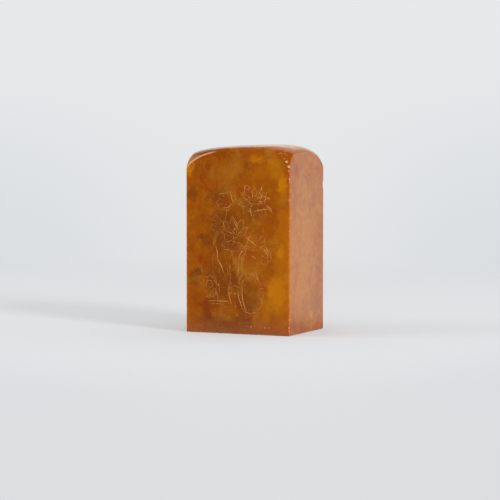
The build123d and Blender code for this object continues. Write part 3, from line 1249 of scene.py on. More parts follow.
def mark_arrises(mesh, shape):
    """Marks how rubbed each point of the worn edges is, and the painted ridge highlight at the top left."""
    points = np.array([tuple(vertex.co) for vertex in mesh.vertices])
    across, deep, up = points.T
    room = shape.arris * WEAR_REACH
    at_side, at_face = WIDTH / 2 - np.abs(across) < room, DEPTH / 2 - np.abs(deep) < room
    upright = at_side & at_face
    foot = (up < room) & (at_side | at_face)
    handled = upright & (across > 0) & (deep < 0)
    worn = np.where(handled, HANDLED_WEAR, np.where(foot, FOOT_WEAR, np.where(upright, UPRIGHT_WEAR, 0.0)))
    away = np.hypot(deep + DEPTH / 2, up - (HEIGHT - top_drop(across, -DEPTH / 2, shape)))
    fade = np.clip((across / MM - RIDGE_FADE[0]) / (RIDGE_FADE[1] - RIDGE_FADE[0]), 0, 1)
    ridge_wear_and_highlight = np.clip((RIDGE_REACH - away / shape.arris) / (RIDGE_REACH - RIDGE_CORE), 0, 1) * fade
    keep_values(mesh, "FLOAT", "value", {"arris": worn, "ridge_wear_and_highlight": ridge_wear_and_highlight})


# Geometry nodes that work the stone

# Waves of the lapped faces for each metre
LAPPING_RATE = 90.0
# The lump that leaves a chip: its roundness, and the scale, the detail and the reach of its roughness
LUMP_ROUNDNESS = 3
LUMP_NOISE = (1.1, 3.0, 1.3)


def named_value(tree, name, kind):
    """A value kept on the points of a mesh."""
    return node(tree, "GeometryNodeInputNamedAttribute", {"Name": name}, data_type=kind).outputs[0]


def store_value(tree, geometry, name, value, domain):
    """The geometry with a value kept on it."""
    return node(tree, "GeometryNodeStoreNamedAttribute", {
        "Geometry": geometry, "Name": name, "Value": value}, data_type="FLOAT", domain=domain).outputs[0]


def incise(tree, geometry, given, place):
    """Sinks each point by how near it is to a stroke."""
    strokes = node(tree, "GeometryNodeObjectInfo", {"Object": given["Strokes"]}).outputs["Geometry"]
    near = node(tree, "GeometryNodeProximity", {"Geometry": strokes, "Sample Position": place},
                target_element="EDGES").outputs["Distance"]
    closest = node(tree, "GeometryNodeSampleNearest", {"Geometry": strokes, "Sample Position": place},
                   domain="POINT").outputs[0]

    def of_closest(name):
        """A value of the stroke's point that lies closest."""
        return node(tree, "GeometryNodeSampleIndex", {
            "Geometry": strokes, "Value": named_value(tree, name, "FLOAT"), "Index": closest},
            data_type="FLOAT", domain="POINT").outputs[0]

    half = of_closest("half_width")
    carved = math_node(tree, "SUBTRACT", 1.0, math_node(tree, "DIVIDE", near, half), clamp=True)
    depth = times(tree, math_node(tree, "DIVIDE", half, given["Line Half Width"]), given["Line Depth"])
    sink = node(tree, "ShaderNodeCombineXYZ", {"Y": times(tree, carved, depth)}).outputs[0]
    marked = store_value(tree, geometry, "carved", carved, "POINT")
    marked = store_value(tree, marked, "fresh", of_closest("fresh"), "POINT")
    return node(tree, "GeometryNodeSetPosition", {"Geometry": marked, "Offset": sink}).outputs[0]


def lap(tree, geometry, given, place):
    """Lets the faces wander a little inwards from flat."""
    wave = node(tree, "ShaderNodeTexNoise", {"Vector": place, "Scale": LAPPING_RATE, "Detail": 1.0})
    inward = vector_math(tree, "MULTIPLY", vector_math(tree, "SIGN", place), (-1.0, -1.0, 0.0))
    shift = vector_math(tree, "SCALE", vector_math(tree, "MULTIPLY", inward, wave.outputs["Color"]),
                        given["Lapping"])
    return node(tree, "GeometryNodeSetPosition", {"Geometry": geometry, "Offset": shift}).outputs[0]


def chip(tree, geometry, given, place):
    """Takes rough lumps that stand on the edges out of the stone."""
    lump = node(tree, "GeometryNodeMeshIcoSphere", {"Radius": 1.0, "Subdivisions": LUMP_ROUNDNESS}).outputs[0]
    rough = node(tree, "GeometryNodeSetPosition", {
        "Geometry": lump, "Offset": noise_shift(tree, place, *LUMP_NOISE)}).outputs[0]
    spots = node(tree, "GeometryNodeObjectInfo", {"Object": given["Chips"]}).outputs["Geometry"]
    lumps = node(tree, "GeometryNodeInstanceOnPoints", {
        "Points": spots, "Instance": store_value(tree, rough, "chipped", 1.0, "FACE"),
        "Rotation": named_value(tree, "turn", "FLOAT_VECTOR"),
        "Scale": named_value(tree, "size", "FLOAT_VECTOR")}).outputs[0]
    tools = node(tree, "GeometryNodeRealizeInstances", {"Geometry": lumps}).outputs[0]
    return node(tree, "GeometryNodeMeshBoolean", {"Mesh 1": geometry, "Mesh 2": tools},
                operation="DIFFERENCE", solver="MANIFOLD").outputs[0]


def working_tree():
    """Geometry nodes that incise, lap and chip the stone."""
    tree, given, result = new_group("Work The Stone", "GeometryNodeTree", [
        ("Geometry", "NodeSocketGeometry", None), ("Strokes", "NodeSocketObject", None),
        ("Chips", "NodeSocketObject", None), ("Line Depth", "NodeSocketFloat", 0.0001),
        ("Line Half Width", "NodeSocketFloat", 0.0001), ("Lapping", "NodeSocketFloat", 0.00003),
        ("Stone", "NodeSocketMaterial", None),
    ], [("Geometry", "NodeSocketGeometry")])
    place = tree.nodes.new("GeometryNodeInputPosition").outputs[0]
    worked = incise(tree, given["Geometry"], given, place)
    worked = lap(tree, worked, given, place)
    worked = chip(tree, worked, given, place)
    realized = node(tree, "GeometryNodeRealizeInstances", {"Geometry": worked}).outputs[0]
    finished = node(tree, "GeometryNodeSetMaterial", {"Geometry": realized, "Material": given["Stone"]})
    tree.links.new(finished.outputs[0], result["Geometry"])
    return tree


def set_inputs(modifier, values):
    """Sets a geometry nodes modifier's inputs by their socket identifiers."""
    for item in modifier.node_group.interface.items_tree:
        if item.item_type == "SOCKET" and item.in_out == "INPUT" and item.name in values:
            modifier[item.identifier] = values[item.name]


def make_plain(made, name):
    """Turns an object with modifiers into one plain mesh object."""
    evaluated = made.evaluated_get(bpy.context.evaluated_depsgraph_get())
    mesh = bpy.data.meshes.new_from_object(evaluated)
    made.modifiers.clear()
    old = made.data
    made.data = mesh
    mesh.name = name
    bpy.data.meshes.remove(old)


# Materials

# Patches of the stone, listed one by one: centre and reach in millimetres, and strength
HONEY_AND_PAINTED_LIGHT_SPOTS = [
    ((13.8, -12.0, 42.5), (2.0, 5.0, 5.4), 1.0), ((13.0, -12.0, 24.4), (2.4, 4.0, 3.2), 0.9),
    ((12.4, -12.0, 11.5), (4.6, 5.0, 7.5), 0.85), ((5.6, -12.0, 49.6), (3.4, 3.0, 1.6), 0.8),
    ((-14.7, -12.0, 46.6), (1.5, 3.0, 2.4), 1.0), ((13.5, -12.0, 33.0), (2.6, 4.0, 6.0), 0.3),
    ((7.5, -12.0, 46.0), (5.0, 4.0, 3.4), 0.3),
    ((-4.5, -12.0, 4.6), (3.4, 3.0, 1.8), 0.35), ((16.0, -2.3, 28.8), (4.0, 2.2, 3.6), 0.35),
    ((16.0, -6.0, 14.0), (4.0, 2.6, 7.0), 0.35), ((16.0, 3.0, 5.0), (4.0, 1.8, 1.6), 0.6),
    ((-16.0, 4.0, 30.0), (4.0, 3.0, 5.0), 0.7), ((-16.0, -6.0, 12.0), (4.0, 3.0, 4.0), 0.5),
    ((3.0, 12.0, 20.0), (5.0, 4.0, 6.0), 0.7), ((-9.0, 12.0, 38.0), (3.0, 4.0, 5.0), 0.6),
    # The first patch on the next line, on the domed top, is painted light. The second, a strip up the right
    # edge of the wide face, is partly the stone's clear yellow and partly a painted glow of light passing
    # through that edge.
    ((4.0, 2.0, 53.0), (6.0, 4.0, 3.0), 0.5), ((14.2, -12.0, 20.0), (4.6, 6.0, 30.0), 0.42),
    # The next patch tints the whole narrow right side, part of its painted sheen.
    ((17.0, -2.0, 26.0), (3.5, 16.0, 34.0), 0.18),
    ((11.4, -12.0, 47.2), (3.8, 4.0, 4.8), 0.60), ((17.0, -3.0, 14.0), (3.5, 9.0, 12.0), 0.40),
    # From the second patch on the next line to the end, the patches on the domed top are painted light: the
    # top lit from above and behind, and a painted sheen along its front edge.
    ((9.0, -12.0, 7.5), (3.0, 4.0, 4.0), 0.40), ((10.0, -1.0, 52.0), (8.0, 7.4, 4.6), 1.0),
    ((11.5, 5.0, 50.5), (6.0, 9.0, 4.6), 1.0), ((-2.0, -1.2, 53.0), (9.0, 7.0, 4.6), 0.9),
    ((8.5, -8.2, 53.2), (9.0, 3.9, 3.0), 1.0), ((-4.0, -8.4, 53.0), (8.0, 3.7, 3.0), 1.0),
]
RUSSET_SPOTS = [
    ((-8.7, -12.0, 47.2), (1.5, 4.0, 2.4), 0.85), ((-10.6, -12.0, 43.9), (1.5, 4.0, 2.8), 0.9),
    ((-7.0, -12.0, 50.4), (7.5, 4.0, 1.8), 0.7), ((11.4, -12.0, 33.0), (1.6, 4.0, 4.6), 0.7),
    ((8.6, -12.0, 36.0), (1.4, 4.0, 3.0), 0.6), ((14.5, -12.0, 36.5), (2.0, 4.0, 2.0), 0.6),
    ((3.0, -12.0, 22.5), (2.0, 3.0, 1.6), 0.6), ((-14.5, -12.0, 24.0), (2.0, 4.0, 3.0), 0.45),
    ((12.0, -12.0, 3.5), (3.5, 4.0, 1.6), 0.4), ((16.0, 8.0, 20.0), (4.0, 3.0, 12.0), 0.25),
    ((16.0, -9.5, 37.0), (4.0, 2.4, 8.0), 0.35), ((16.0, 2.0, 44.0), (4.0, 3.5, 5.0), 0.35),
    ((-16.0, 0.0, 43.0), (4.0, 5.0, 4.0), 0.6), ((8.0, 12.0, 34.0), (5.0, 4.0, 4.0), 0.6),
    ((-8.0, 1.0, 53.0), (5.0, 4.0, 4.0), 0.5),
]
SMOKE_SPOTS = [
    ((-5.8, -12.0, 38.6), (5.5, 4.0, 3.6), 0.70), ((-3.5, -12.0, 28.5), (8.0, 4.0, 10.0), 0.85),
    ((-9.6, -12.0, 26.4), (3.0, 4.0, 3.0), 0.75), ((-12.6, -12.0, 17.4), (2.8, 3.0, 1.6), 0.95),
    ((-4.6, -12.0, 14.5), (8.0, 4.0, 9.0), 0.80), ((13.3, -12.0, 26.6), (0.9, 2.0, 0.8), 1.0),
    ((-4.0, -12.0, 3.0), (13.0, 4.0, 4.6), 0.75), ((3.0, -12.0, 9.5), (5.0, 4.0, 7.0), 0.75),
    ((4.0, -12.0, 35.0), (6.5, 4.0, 6.0), 0.55), ((-13.0, -12.0, 9.0), (3.0, 4.0, 4.0), 0.3),
    ((-3.5, -12.0, 35.0), (3.0, 4.0, 2.2), 0.5), ((16.0, 6.0, 8.0), (4.0, 5.0, 4.0), 0.3),
    ((-16.0, 3.0, 18.0), (4.0, 4.0, 4.0), 0.7), ((-4.0, 12.0, 12.0), (6.0, 4.0, 5.0), 0.7),
    ((8.0, -3.0, 53.0), (4.0, 3.0, 3.0), 0.3), ((-14.5, -12.0, 39.0), (3.2, 4.0, 3.2), 0.65),
    ((-7.5, -12.0, 8.2), (3.4, 4.0, 3.0), 0.65), ((3.0, -12.0, 5.0), (3.2, 4.0, 2.6), 0.80),
    # The second patch on the next line darkens a band along the foot of the wide face.
    ((-14.3, -12.0, 15.0), (2.8, 4.0, 3.6), 0.60), ((0.0, -12.0, 0.4), (16.0, 3.0, 1.6), 0.50),
    ((-11.8, -12.0, 27.6), (2.0, 2.0, 1.0), 1.0), ((-10.4, -12.0, 26.6), (1.6, 2.0, 0.8), 0.9),
]
DEEP_AND_PAINTED_SHADE_SPOTS = [
    # The first three patches, on the front slope of the domed top and at its front right corner, are painted
    # shade where the top faces away from the light above and behind.
    ((14.4, -10.6, 49.4), (3.4, 3.4, 3.2), 0.9), ((-5.0, -10.8, 51.6), (10.0, 2.6, 2.0), 0.8),
    ((6.0, -11.0, 52.2), (7.0, 2.0, 1.4), 0.5), ((-12.6, -12.0, 41.0), (2.6, 3.0, 3.4), 0.4),
    ((-6.0, 12.0, 26.0), (5.0, 4.0, 8.0), 0.6), ((-16.0, 2.0, 28.0), (3.0, 5.0, 4.0), 0.6),
]
MILK_AND_SHEEN_SPOTS = [
    ((-2.5, -12.0, 45.5), (6.5, 4.0, 3.8), 0.6), ((3.5, -12.0, 25.5), (3.5, 4.0, 4.0), 0.35),
    # The second patch on the next line covers the whole narrow right side: a painted sheen of the pale light
    # that side faces and mirrors.
    ((5.0, -12.0, 18.0), (5.0, 4.0, 5.0), 0.45), ((17.5, -1.0, 26.0), (4.0, 18.0, 40.0), 1.0),
    ((-16.0, -4.0, 34.0), (4.0, 5.0, 7.0), 0.5), ((2.0, 12.0, 42.0), (8.0, 4.0, 6.0), 0.5),
    ((-0.4, -12.0, 47.0), (4.0, 4.0, 4.2), 0.75), ((4.6, -12.0, 17.5), (4.2, 4.0, 4.6), 0.75),
]
# Clouds in the stone, sizes in millimetres: size, detail, warp, the two values of the noise between which
# the mask rises, and where in the noise the cloud is taken from
MILK_CLOUD = (5.0, 4.0, 3.0, 0.48, 0.70, (9, 0, 4))
RUSSET_CLOUD = (6.0, 5.0, 4.0, 0.52, 0.72, (0, 0, 0))
SMOKE_CLOUD = (7.0, 6.0, 4.0, 0.58, 0.78, (0, 57, 0))
HONEY_CLOUD = (4.0, 4.0, 3.0, 0.62, 0.80, (31, 0, 0))
FINE_SMOKE_CLOUD = (1.7, 5.0, 1.4, 0.46, 0.75, (0, 0, 13))
FINE_HONEY_CLOUD = (1.3, 4.0, 1.0, 0.50, 0.75, (5, 40, 13))
VEINED_CLOUD = (8.0, 2.0, 1.0, 0.46, 0.60, (70, 0, 0))
FOOT_DARKENING_CLOUD = (3.0, 3.0, 2.0, 0.36, 0.62, (0, 12, 40))
PASTE_CLOUD = (2.2, 5.0, 1.6, 0.36, 0.62, (22, 5, 0))
RUBBED_CLOUD = (0.9, 3.0, 0.6, 0.47, 0.64, (3, 3, 3))
CHIPPED_CLOUD = (0.45, 3.0, 0.4, 0.36, 0.62, (8, 3, 30))
# Layers of colour on the amber, from the lowest: colour, patches, cloud and strength
COLOUR_LAYERS = [
    ("milk_and_painted_sheen", MILK_AND_SHEEN_SPOTS, MILK_CLOUD, 0.85), ("russet", RUSSET_SPOTS, RUSSET_CLOUD, 0.75),
    ("smoke", SMOKE_SPOTS, SMOKE_CLOUD, 0.75), ("deep", DEEP_AND_PAINTED_SHADE_SPOTS, None, 0.85),
    ("honey_and_painted_light", HONEY_AND_PAINTED_LIGHT_SPOTS, HONEY_CLOUD, 0.80), ("smoke", None, FINE_SMOKE_CLOUD, 0.30),
    ("honey_and_painted_light", None, FINE_HONEY_CLOUD, 0.32),
]
# Noise that bends the patches and veins, coarse and ragged: scale, detail and reach
COARSE_BEND = (0.16, 2.0, 4.0)
RAGGED_BEND = (0.8, 4.0, 3.4)
VEIN_STRENGTH = 0.45
# The stone grows darker and redder towards its foot, fading in between these heights in millimetres
FOOT_DARKENING_HEIGHTS = (3.52, 0.66)
FOOT_DARKENING_STRENGTH = 0.30
# Paste on the print face, in millimetres: the heights in the cuts between which it fades in, how near the
# face's border it fades out, and the heights between which it is caked, with how much that adds
PASTE_HEIGHTS = (0.989, 0.86)
PASTE_MARGIN = (0.05, 0.35)
CAKED_HEIGHTS = (0.1, 0.6)
CAKED_SHARE = 0.35
# How much paste is left everywhere, and how much more in its clouds
PASTE_LEFT = 0.45
PASTE_CLOUDED = 0.45
# How much powder shows on worn edges, how strong the painted ridge highlight is, and how much powder shows in
# a chip everywhere and in its clouds
RUBBED_SHARE = 0.6
RIDGE_HIGHLIGHT_SHARE = 0.55
CHIP_SHARE = 0.5
# An incised line is white from this much of its depth
WHITE_DEPTH = 0.6
INCISED_STRENGTH = 0.80
# Strength of the powder in chips and on worn edges, and of the painted ridge highlight
BARE_AND_HIGHLIGHT_STRENGTH = 0.90
# Roughness of the polish and of a cut, and of the polish away from and on specks of grain
CUT_ROUGHNESS = (0.14, 0.55)
GRAIN_ROUGHNESS = (0.13, 0.24)


class StoneLook:
    """The node tree of the stone's material, and the masks through which its colours are laid."""

    def __init__(self, tree):
        self.tree = tree
        self.cloud = cloud_group()
        self.patch = patch_group()
        object_place = tree.nodes.new("ShaderNodeTexCoord").outputs["Object"]
        self.place = vector_math(tree, "SCALE", object_place, PER_METRE)
        bent = vector_math(tree, "ADD", self.place, noise_shift(tree, self.place, *COARSE_BEND))
        self.bent = vector_math(tree, "ADD", bent, noise_shift(tree, self.place, *RAGGED_BEND))

    def clouds(self, cloud):
        """A mask of clouds."""
        keys = ("Size", "Detail", "Warp", "Low", "High", "Place")
        return use_group(self.tree, self.cloud, {"Vector": self.place, **dict(zip(keys, cloud))})["Mask"]

    def patches(self, spots):
        """A mask of patches at listed places."""
        total = None
        for centre, reach, strength in spots:
            mask = use_group(self.tree, self.patch, {
                "Vector": self.bent, "Centre": centre, "Reach": reach})["Mask"]
            mask = times(self.tree, mask, strength)
            total = mask if total is None else either(self.tree, total, mask)
        return total

    def kept(self, name):
        """A value kept on the stone's mesh."""
        return node(self.tree, "ShaderNodeAttribute", attribute_name=name).outputs["Fac"]

    def layer(self, colour, mask, strength, over):
        """A colour with another laid over it through a mask."""
        return blend_colour(self.tree, times(self.tree, mask, strength), colour, over)


def ground_colour(look, colours):
    """The amber ground with its patches, clouds and veins, darker and redder towards its foot."""
    tree = look.tree
    colour = colours.amber
    for name, spots, cloud, strength in COLOUR_LAYERS:
        mask = look.patches(spots) if spots else look.clouds(cloud)
        if spots and cloud:
            mask = either(tree, mask, look.clouds(cloud))
        colour = look.layer(colour, mask, strength, getattr(colours, name))
    veins = use_group(tree, vein_group(), {"Vector": look.bent})["Mask"]
    veined = times(tree, veins, look.clouds(VEINED_CLOUD))
    colour = look.layer(colour, veined, VEIN_STRENGTH, colours.russet)
    up = node(tree, "ShaderNodeSeparateXYZ", {"Vector": look.bent}).outputs["Z"]
    darker_foot = times(tree, smooth_step(tree, up, *FOOT_DARKENING_HEIGHTS), look.clouds(FOOT_DARKENING_CLOUD))
    return look.layer(colour, darker_foot, FOOT_DARKENING_STRENGTH, colours.paste)


def pasted_mask(look):
    """Seal paste on the print face: patchy on the raised strokes, and thicker in the cuts."""
    tree = look.tree
    across, deep, up = node(tree, "ShaderNodeSeparateXYZ", {"Vector": look.place}).outputs
    pasted = smooth_step(tree, up, *PASTE_HEIGHTS)
    for place, length in ((across, WIDTH), (deep, DEPTH)):
        border = length / 2 * PER_METRE
        in_border = smooth_step(tree, math_node(tree, "ABSOLUTE", place),
                                border - PASTE_MARGIN[0], border - PASTE_MARGIN[1])
        pasted = times(tree, pasted, in_border)
    caked = smooth_step(tree, up, *CAKED_HEIGHTS, 0.0, CAKED_SHARE)
    patchy = math_node(tree, "MULTIPLY_ADD", look.clouds(PASTE_CLOUD), PASTE_CLOUDED, PASTE_LEFT)
    return times(tree, pasted, math_node(tree, "ADD", patchy, caked, clamp=True))


def bare_stone_and_highlight_mask(look):
    """Bare stone in the chips and on the worn edges, and the painted highlight on the ridge at the top left.
    """
    tree = look.tree
    worn = times(tree, times(tree, look.kept("arris"), look.clouds(RUBBED_CLOUD)), RUBBED_SHARE)
    wear_and_ridge_highlight = either(tree, worn, times(tree, look.kept("ridge_wear_and_highlight"), RIDGE_HIGHLIGHT_SHARE))
    mottled = math_node(tree, "MULTIPLY_ADD", look.clouds(CHIPPED_CLOUD), CHIP_SHARE, CHIP_SHARE)
    return either(tree, times(tree, look.kept("chipped"), mottled), wear_and_ridge_highlight)


def new_material(name):
    """A material with an empty node tree."""
    material = bpy.data.materials.new(name)
    material.use_nodes = True
    material.node_tree.nodes.clear()
    return material


def soapstone(colours):
    """Polished amber soapstone, with powdered cuts and chips and paste on its print face."""
    material = new_material("amber_soapstone")
    tree = material.node_tree
    look = StoneLook(tree)
    incised = times(tree, smooth_step(tree, look.kept("carved"), 0.0, WHITE_DEPTH), look.kept("fresh"))
    bare_and_highlight = bare_stone_and_highlight_mask(look)
    colour = look.layer(ground_colour(look, colours), pasted_mask(look), 1.0, colours.wet_paste)
    colour = look.layer(colour, incised, INCISED_STRENGTH, colours.frost)
    # Powder in the chips and on the worn edges, and the painted highlight on the ridge.
    colour = look.layer(colour, bare_and_highlight, BARE_AND_HIGHLIGHT_STRENGTH, colours.powder_and_highlight)
    grains = use_group(tree, grain_group(), {"Vector": look.place})
    cut = smooth_step(tree, either(tree, incised, bare_and_highlight), 0.0, 1.0, *CUT_ROUGHNESS)
    grained = smooth_step(tree, grains["Mask"], 0.0, 1.0, *GRAIN_ROUGHNESS)
    bump = node(tree, "ShaderNodeBump", {"Height": grains["Height"], "Strength": 0.06, "Distance": 0.04 * MM})
    surface = node(tree, "ShaderNodeBsdfPrincipled", {
        "Base Color": colour, "Roughness": either(tree, cut, grained), "IOR": 1.56,
        "Subsurface Weight": 0.7, "Subsurface Scale": 3.0 * MM,
        "Subsurface Radius": (1.0, 0.36, 0.08), "Normal": bump.outputs["Normal"],
    }, subsurface_method="RANDOM_WALK")
    node(tree, "ShaderNodeOutputMaterial", {"Surface": surface.outputs[0]})
    return material


# The floor lies a hair below the stone, so that the two never share a plane
FLOOR_GAP = 0.03 * MM
# It is open under the stone but for a lip this wide, so that the print face is lit when seen from below
FLOOR_LIP = 0.6 * MM
# Its tint is blotched a little with grey: scale and detail of the noise, and the share of grey
FLOOR_BLOTCHES = (30.0, 3.0, 0.02)
FLOOR_GREY = (0.7, 0.7, 0.7)
# How much of the backdrop's own glow the floor has when it is seen, and how bright that glow is
FLOOR_GLOW_SHARE = 0.35
FLOOR_GLOW = 0.94
# The polish mirrors the floor only this near to the stone, fading between the two distances in metres
MIRRORED_FLOOR = (0.020, 0.070)
# How bright the floor near the stone shows in the polish, as a share of the backdrop
MIRRORED_SHARE = 0.5


def floor_material(stage):
    """A plain pale floor that fades into the backdrop and is clear from below."""
    material = new_material("pale_floor")
    tree = material.node_tree
    place = tree.nodes.new("ShaderNodeTexCoord").outputs["Object"]
    rays = tree.nodes.new("ShaderNodeLightPath").outputs
    mirrored = rays["Is Glossy Ray"]
    scale, detail, share = FLOOR_BLOTCHES
    blotches = node(tree, "ShaderNodeTexNoise", {"Vector": place, "Scale": scale, "Detail": detail})
    tint = blend_colour(tree, times(tree, blotches.outputs["Fac"], share), stage.floor, FLOOR_GREY)
    lit = node(tree, "ShaderNodeBsdfDiffuse", {"Color": tint}).outputs[0]
    glow, mirror_glow = (
        node(tree, "ShaderNodeEmission", {"Color": (*stage.backdrop, 1.0), "Strength": strength}).outputs[0]
        for strength in (FLOOR_GLOW, MIRRORED_SHARE))
    seen = either(tree, rays["Is Camera Ray"], mirrored)
    solid = blend_shader(tree, times(tree, seen, FLOOR_GLOW_SHARE), lit, glow)
    solid = blend_shader(tree, mirrored, solid, mirror_glow)
    away = vector_math(tree, "DISTANCE", place, stage.floor_middle, result="Value")
    faded = smooth_step(tree, away, stage.floor_clear, stage.floor_edge)
    below = tree.nodes.new("ShaderNodeNewGeometry").outputs["Backfacing"]
    from_stone = vector_math(tree, "LENGTH", place, result="Value")
    unmirrored = times(tree, smooth_step(tree, from_stone, *MIRRORED_FLOOR), mirrored)
    gone = either(tree, either(tree, faded, below), unmirrored)
    clear = node(tree, "ShaderNodeBsdfTransparent").outputs[0]
    node(tree, "ShaderNodeOutputMaterial", {"Surface": blend_shader(tree, gone, solid, clear)})
    return material


# The world

# The pale wall behind, that the polish mirrors: the way towards it, the cosines between which it fades in,
# and the heights between which it does
WALL_WAY, WALL_SIDES, WALL_HEIGHTS = (-0.10, 1.0, 0.0), (-0.1, 0.4), (0.52, 0.20)
# How bright the wall and the rest of the room show in the polish
WALL_LIGHT, ROOM_LIGHT = 0.97, 0.02
# Pale panels of the room that only the polish shows: the way towards each, the cosines between which it
# fades in, and its strength. One stands behind at the left, one behind at the right.
MIRRORED_PANELS = [((-0.858, 0.120, 0.500), 0.88, 0.985, 0.85), ((-0.064, 0.729, 0.682), 0.905, 0.985, 0.78)]
# The even light is brighter from above and behind: the way there, the cosines between which it rises, and
# how much brighter it is
ABOVE_WAY, ABOVE_RISE, ABOVE_SHARE = (0.0, 0.6, 0.8), (0.2, 0.95), 1.35
# Where the backdrop falls to its edge colour: how far aside of the camera's line, and how low, as cosines
BACKDROP_SIDES = (0.012, 0.092)
BACKDROP_LOW = (0.0, -0.075)
# Further down, under the floor's far edge, it partly comes back between these
BACKDROP_FOOT = (-0.135, -0.090)
BACKDROP_FOOT_SHARE = 0.25
# The backdrop is a little darker low down: the heights between which it brightens, and its lower strength
BACKDROP_HEIGHTS = (-0.16, 0.01)
BACKDROP_LOW_LIGHT = 0.91


def mirrored_room(tree, way, height):
    """How bright the room shows in the polish, a pale backdrop behind and dark in front."""
    wall = times(tree, smooth_step(tree, height, *WALL_HEIGHTS),
                 smooth_step(tree, facing(tree, way, WALL_WAY), *WALL_SIDES))
    room = math_node(tree, "MULTIPLY_ADD", wall, WALL_LIGHT, ROOM_LIGHT)
    for towards, low, high, strength in MIRRORED_PANELS:
        panel = smooth_step(tree, facing(tree, way, towards), low, high, 0.0, strength)
        room = either(tree, room, panel)
    return room


def backdrop_colour(tree, way, height, stage):
    """The backdrop as the camera sees it, greyer low down at the sides."""
    right = (math.cos(stage.turn), math.sin(stage.turn), 0.0)
    aside = math_node(tree, "ABSOLUTE", facing(tree, way, right))
    edge = times(tree, smooth_step(tree, aside, *BACKDROP_SIDES), smooth_step(tree, height, *BACKDROP_LOW))
    edge = times(tree, edge, smooth_step(tree, height, *BACKDROP_FOOT, BACKDROP_FOOT_SHARE, 1.0))
    return blend_colour(tree, edge, stage.backdrop, stage.backdrop_edge)


def studio_world(stage):
    """An even light all round, a backdrop that only the camera sees and a room that only the polish shows."""
    world = bpy.data.worlds.new("studio")
    world.use_nodes = True
    tree = world.node_tree
    tree.nodes.clear()
    way = tree.nodes.new("ShaderNodeTexCoord").outputs["Generated"]
    rays = tree.nodes.new("ShaderNodeLightPath").outputs
    height = node(tree, "ShaderNodeSeparateXYZ", {"Vector": way}).outputs["Z"]
    above = smooth_step(tree, facing(tree, way, ABOVE_WAY), *ABOVE_RISE, 1.0, ABOVE_SHARE)
    shades = [
        (backdrop_colour(tree, way, height, stage),
         smooth_step(tree, height, *BACKDROP_HEIGHTS, BACKDROP_LOW_LIGHT, 1.0)),
        ((*stage.backdrop, 1.0), mirrored_room(tree, way, height)),
        ((1.0, 1.0, 1.0, 1.0), times(tree, above, stage.even_light)),
    ]
    seen, mirrored, even = (
        node(tree, "ShaderNodeBackground", {"Color": colour, "Strength": strength}).outputs[0]
        for colour, strength in shades)
    mixed = blend_shader(tree, rays["Is Glossy Ray"], even, mirrored)
    mixed = blend_shader(tree, rays["Is Camera Ray"], mixed, seen)
    node(tree, "ShaderNodeOutputWorld", {"Surface": mixed})
    return world


# Lamps, floor and camera

# Lamps: direction round from +X and up, both in degrees, distance, and width and height in metres
KEY_LAMP = (-24.0, 23.0, 1.2, (0.26, 0.34))
SIDE_LAMP = (208.0, 32.0, 1.0, (0.50, 0.28))
# Size of the frame in pixels, width of the camera's sensor in millimetres, and the distances it sees between
FRAME_PIXELS = 500
SENSOR = 36.0
CLIPPING = (0.01, 20.0)


def soft_lamp(name, lamp, strength):
    """A soft lamp that faces the stone. A strength of one turns a white card that faces it white."""
    turn, rise, distance, size = lamp
    turn, rise = math.radians(turn), math.radians(rise)
    middle = Vector((0.0, 0.0, HEIGHT / 2))
    towards = Vector((math.cos(turn) * math.cos(rise), math.sin(turn) * math.cos(rise), math.sin(rise)))
    data = bpy.data.lights.new(name, "AREA")
    data.shape = "RECTANGLE"
    data.size, data.size_y = size
    data.energy = strength * math.pi**2 * distance**2
    made = add_object(name, data)
    made.location = middle + towards * distance
    made.rotation_euler = towards.to_track_quat("Z", "Y").to_euler()
    made.visible_camera = False
    return made


def place_camera(stage):
    """Stands the camera where the front foot corner falls on its place in the picture."""
    turn, tilt = stage.turn, stage.tilt
    right = Vector((math.cos(turn), math.sin(turn), 0.0))
    ahead = Vector((-math.sin(turn) * math.cos(tilt), math.cos(turn) * math.cos(tilt), -math.sin(tilt)))
    up = right.cross(ahead)
    pixel = WIDTH / stage.stone_pixels
    middle = (FRAME_PIXELS - 1) / 2
    corner = Vector((WIDTH / 2, -DEPTH / 2, 0.0))
    place = (corner - ahead * stage.focal_pixels * pixel
             - right * (stage.corner_across - middle) * pixel + up * (stage.corner_down - middle) * pixel)
    data = bpy.data.cameras.new("camera")
    data.sensor_width = SENSOR
    data.lens = stage.focal_pixels * SENSOR / FRAME_PIXELS
    data.clip_start, data.clip_end = CLIPPING
    camera = add_object("camera", data)
    camera.matrix_world = Matrix.Translation(place) @ Matrix((right, up, -ahead)).transposed().to_4x4()
    return camera


def lay_floor(stage):
    """A square floor with a hole under the stone, as four quads."""
    ways = ((-1, -1), (1, -1), (1, 1), (-1, 1))
    level = Vector((0.0, 0.0, -FLOOR_GAP))
    middle, reach = Vector(stage.floor_middle) + level, stage.floor_edge
    half_hole = (WIDTH / 2 - FLOOR_LIP, DEPTH / 2 - FLOOR_LIP)
    outer = [middle + Vector((x * reach, y * reach, 0.0)) for x, y in ways]
    hole = [level + Vector((x * half_hole[0], y * half_hole[1], 0.0)) for x, y in ways]
    quads = [(side, (side + 1) % 4, (side + 1) % 4 + 4, side + 4) for side in range(4)]
    mesh = bpy.data.meshes.new("floor")
    mesh.from_pydata(outer + hole, [], quads)
    mesh.materials.append(floor_material(stage))
    return add_object("floor", mesh)


# Operators

# Edges of the stone that turn by more than this are shaded sharp
SHARP_ANGLE = math.radians(32)


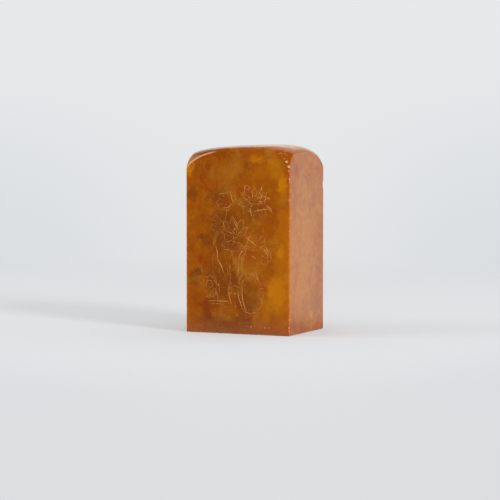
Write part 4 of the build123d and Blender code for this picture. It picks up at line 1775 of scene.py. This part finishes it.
class SEAL_OT_stone(bpy.types.Operator):
    """Build the carved stone"""

    bl_idname = "seal.stone"
    bl_label = "Carved Stone"

    def execute(self, context):
        scene = context.scene
        shape, spray, face = scene.seal_shape, scene.seal_spray, scene.seal_face
        lines = spray_lines(spray)
        stone = add_object("carved_stone", stone_mesh(shape, face, lines, spray.margin))
        mark_arrises(stone.data, shape)
        strokes, chips = strokes_object(lines), chips_object(shape)
        modifier = stone.modifiers.new("work", "NODES")
        modifier.node_group = working_tree()
        set_inputs(modifier, {
            "Strokes": strokes, "Chips": chips, "Line Depth": spray.line_depth,
            "Line Half Width": spray.line_width / 2, "Lapping": shape.lapping,
            "Stone": soapstone(scene.seal_colours),
        })
        make_plain(stone, "carved_stone")
        for helper in (strokes, chips):
            bpy.data.objects.remove(helper)
        stone.data.shade_smooth()
        stone.data.set_sharp_from_angle(angle=SHARP_ANGLE)
        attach(stone, BODY)
        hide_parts(STONE_NODE)
        return {"FINISHED"}


class SEAL_OT_stage(bpy.types.Operator):
    """Set up the floor, the backdrop, the lamps and the camera"""

    bl_idname = "seal.stage"
    bl_label = "Stage"

    def execute(self, context):
        scene = context.scene
        stage = scene.seal_stage
        scene.camera = place_camera(stage)
        floor = lay_floor(stage)
        scene.world = studio_world(stage)
        key_lamp = soft_lamp("key_lamp", KEY_LAMP, stage.key_light)
        key_lamp.visible_glossy = False
        soft_lamp("side_lamp", SIDE_LAMP, stage.side_light)
        scene.view_settings.view_transform = "Standard"
        return {"FINISHED"}


class SEAL_PT_panel(bpy.types.Panel):
    """Lists the seal's parts and their sizes"""

    bl_idname = "SEAL_PT_panel"
    bl_label = "Soapstone Seal"
    bl_space_type = "VIEW_3D"
    bl_region_type = "UI"
    bl_category = "Seal"

    def draw(self, context):
        layout = self.layout
        for operator in OPERATORS:
            layout.operator(operator.bl_idname)
        for name, group in GROUPS.items():
            box = layout.box()
            box.label(text=group.__doc__)
            for prop in group.__annotations__:
                box.prop(getattr(context.scene, name), prop)


OPERATORS = (SEAL_OT_stone, SEAL_OT_stage)


def register():
    """Registers the property groups, the operators and the panel."""
    for group in GROUPS.values():
        bpy.utils.register_class(group)
    for name, group in GROUPS.items():
        setattr(bpy.types.Scene, name, PointerProperty(type=group))
    for made in (*OPERATORS, SEAL_PT_panel):
        bpy.utils.register_class(made)


def unregister():
    """Takes away what register added."""
    for made in (SEAL_PT_panel, *reversed(OPERATORS)):
        bpy.utils.unregister_class(made)
    for name in GROUPS:
        delattr(bpy.types.Scene, name)
    for group in reversed(GROUPS.values()):
        bpy.utils.unregister_class(group)


def main():
    """Registers the add-on and builds everything."""
    register()
    bpy.ops.seal.stage()
    bpy.ops.seal.stone()


if __name__ == "__main__":
    main()
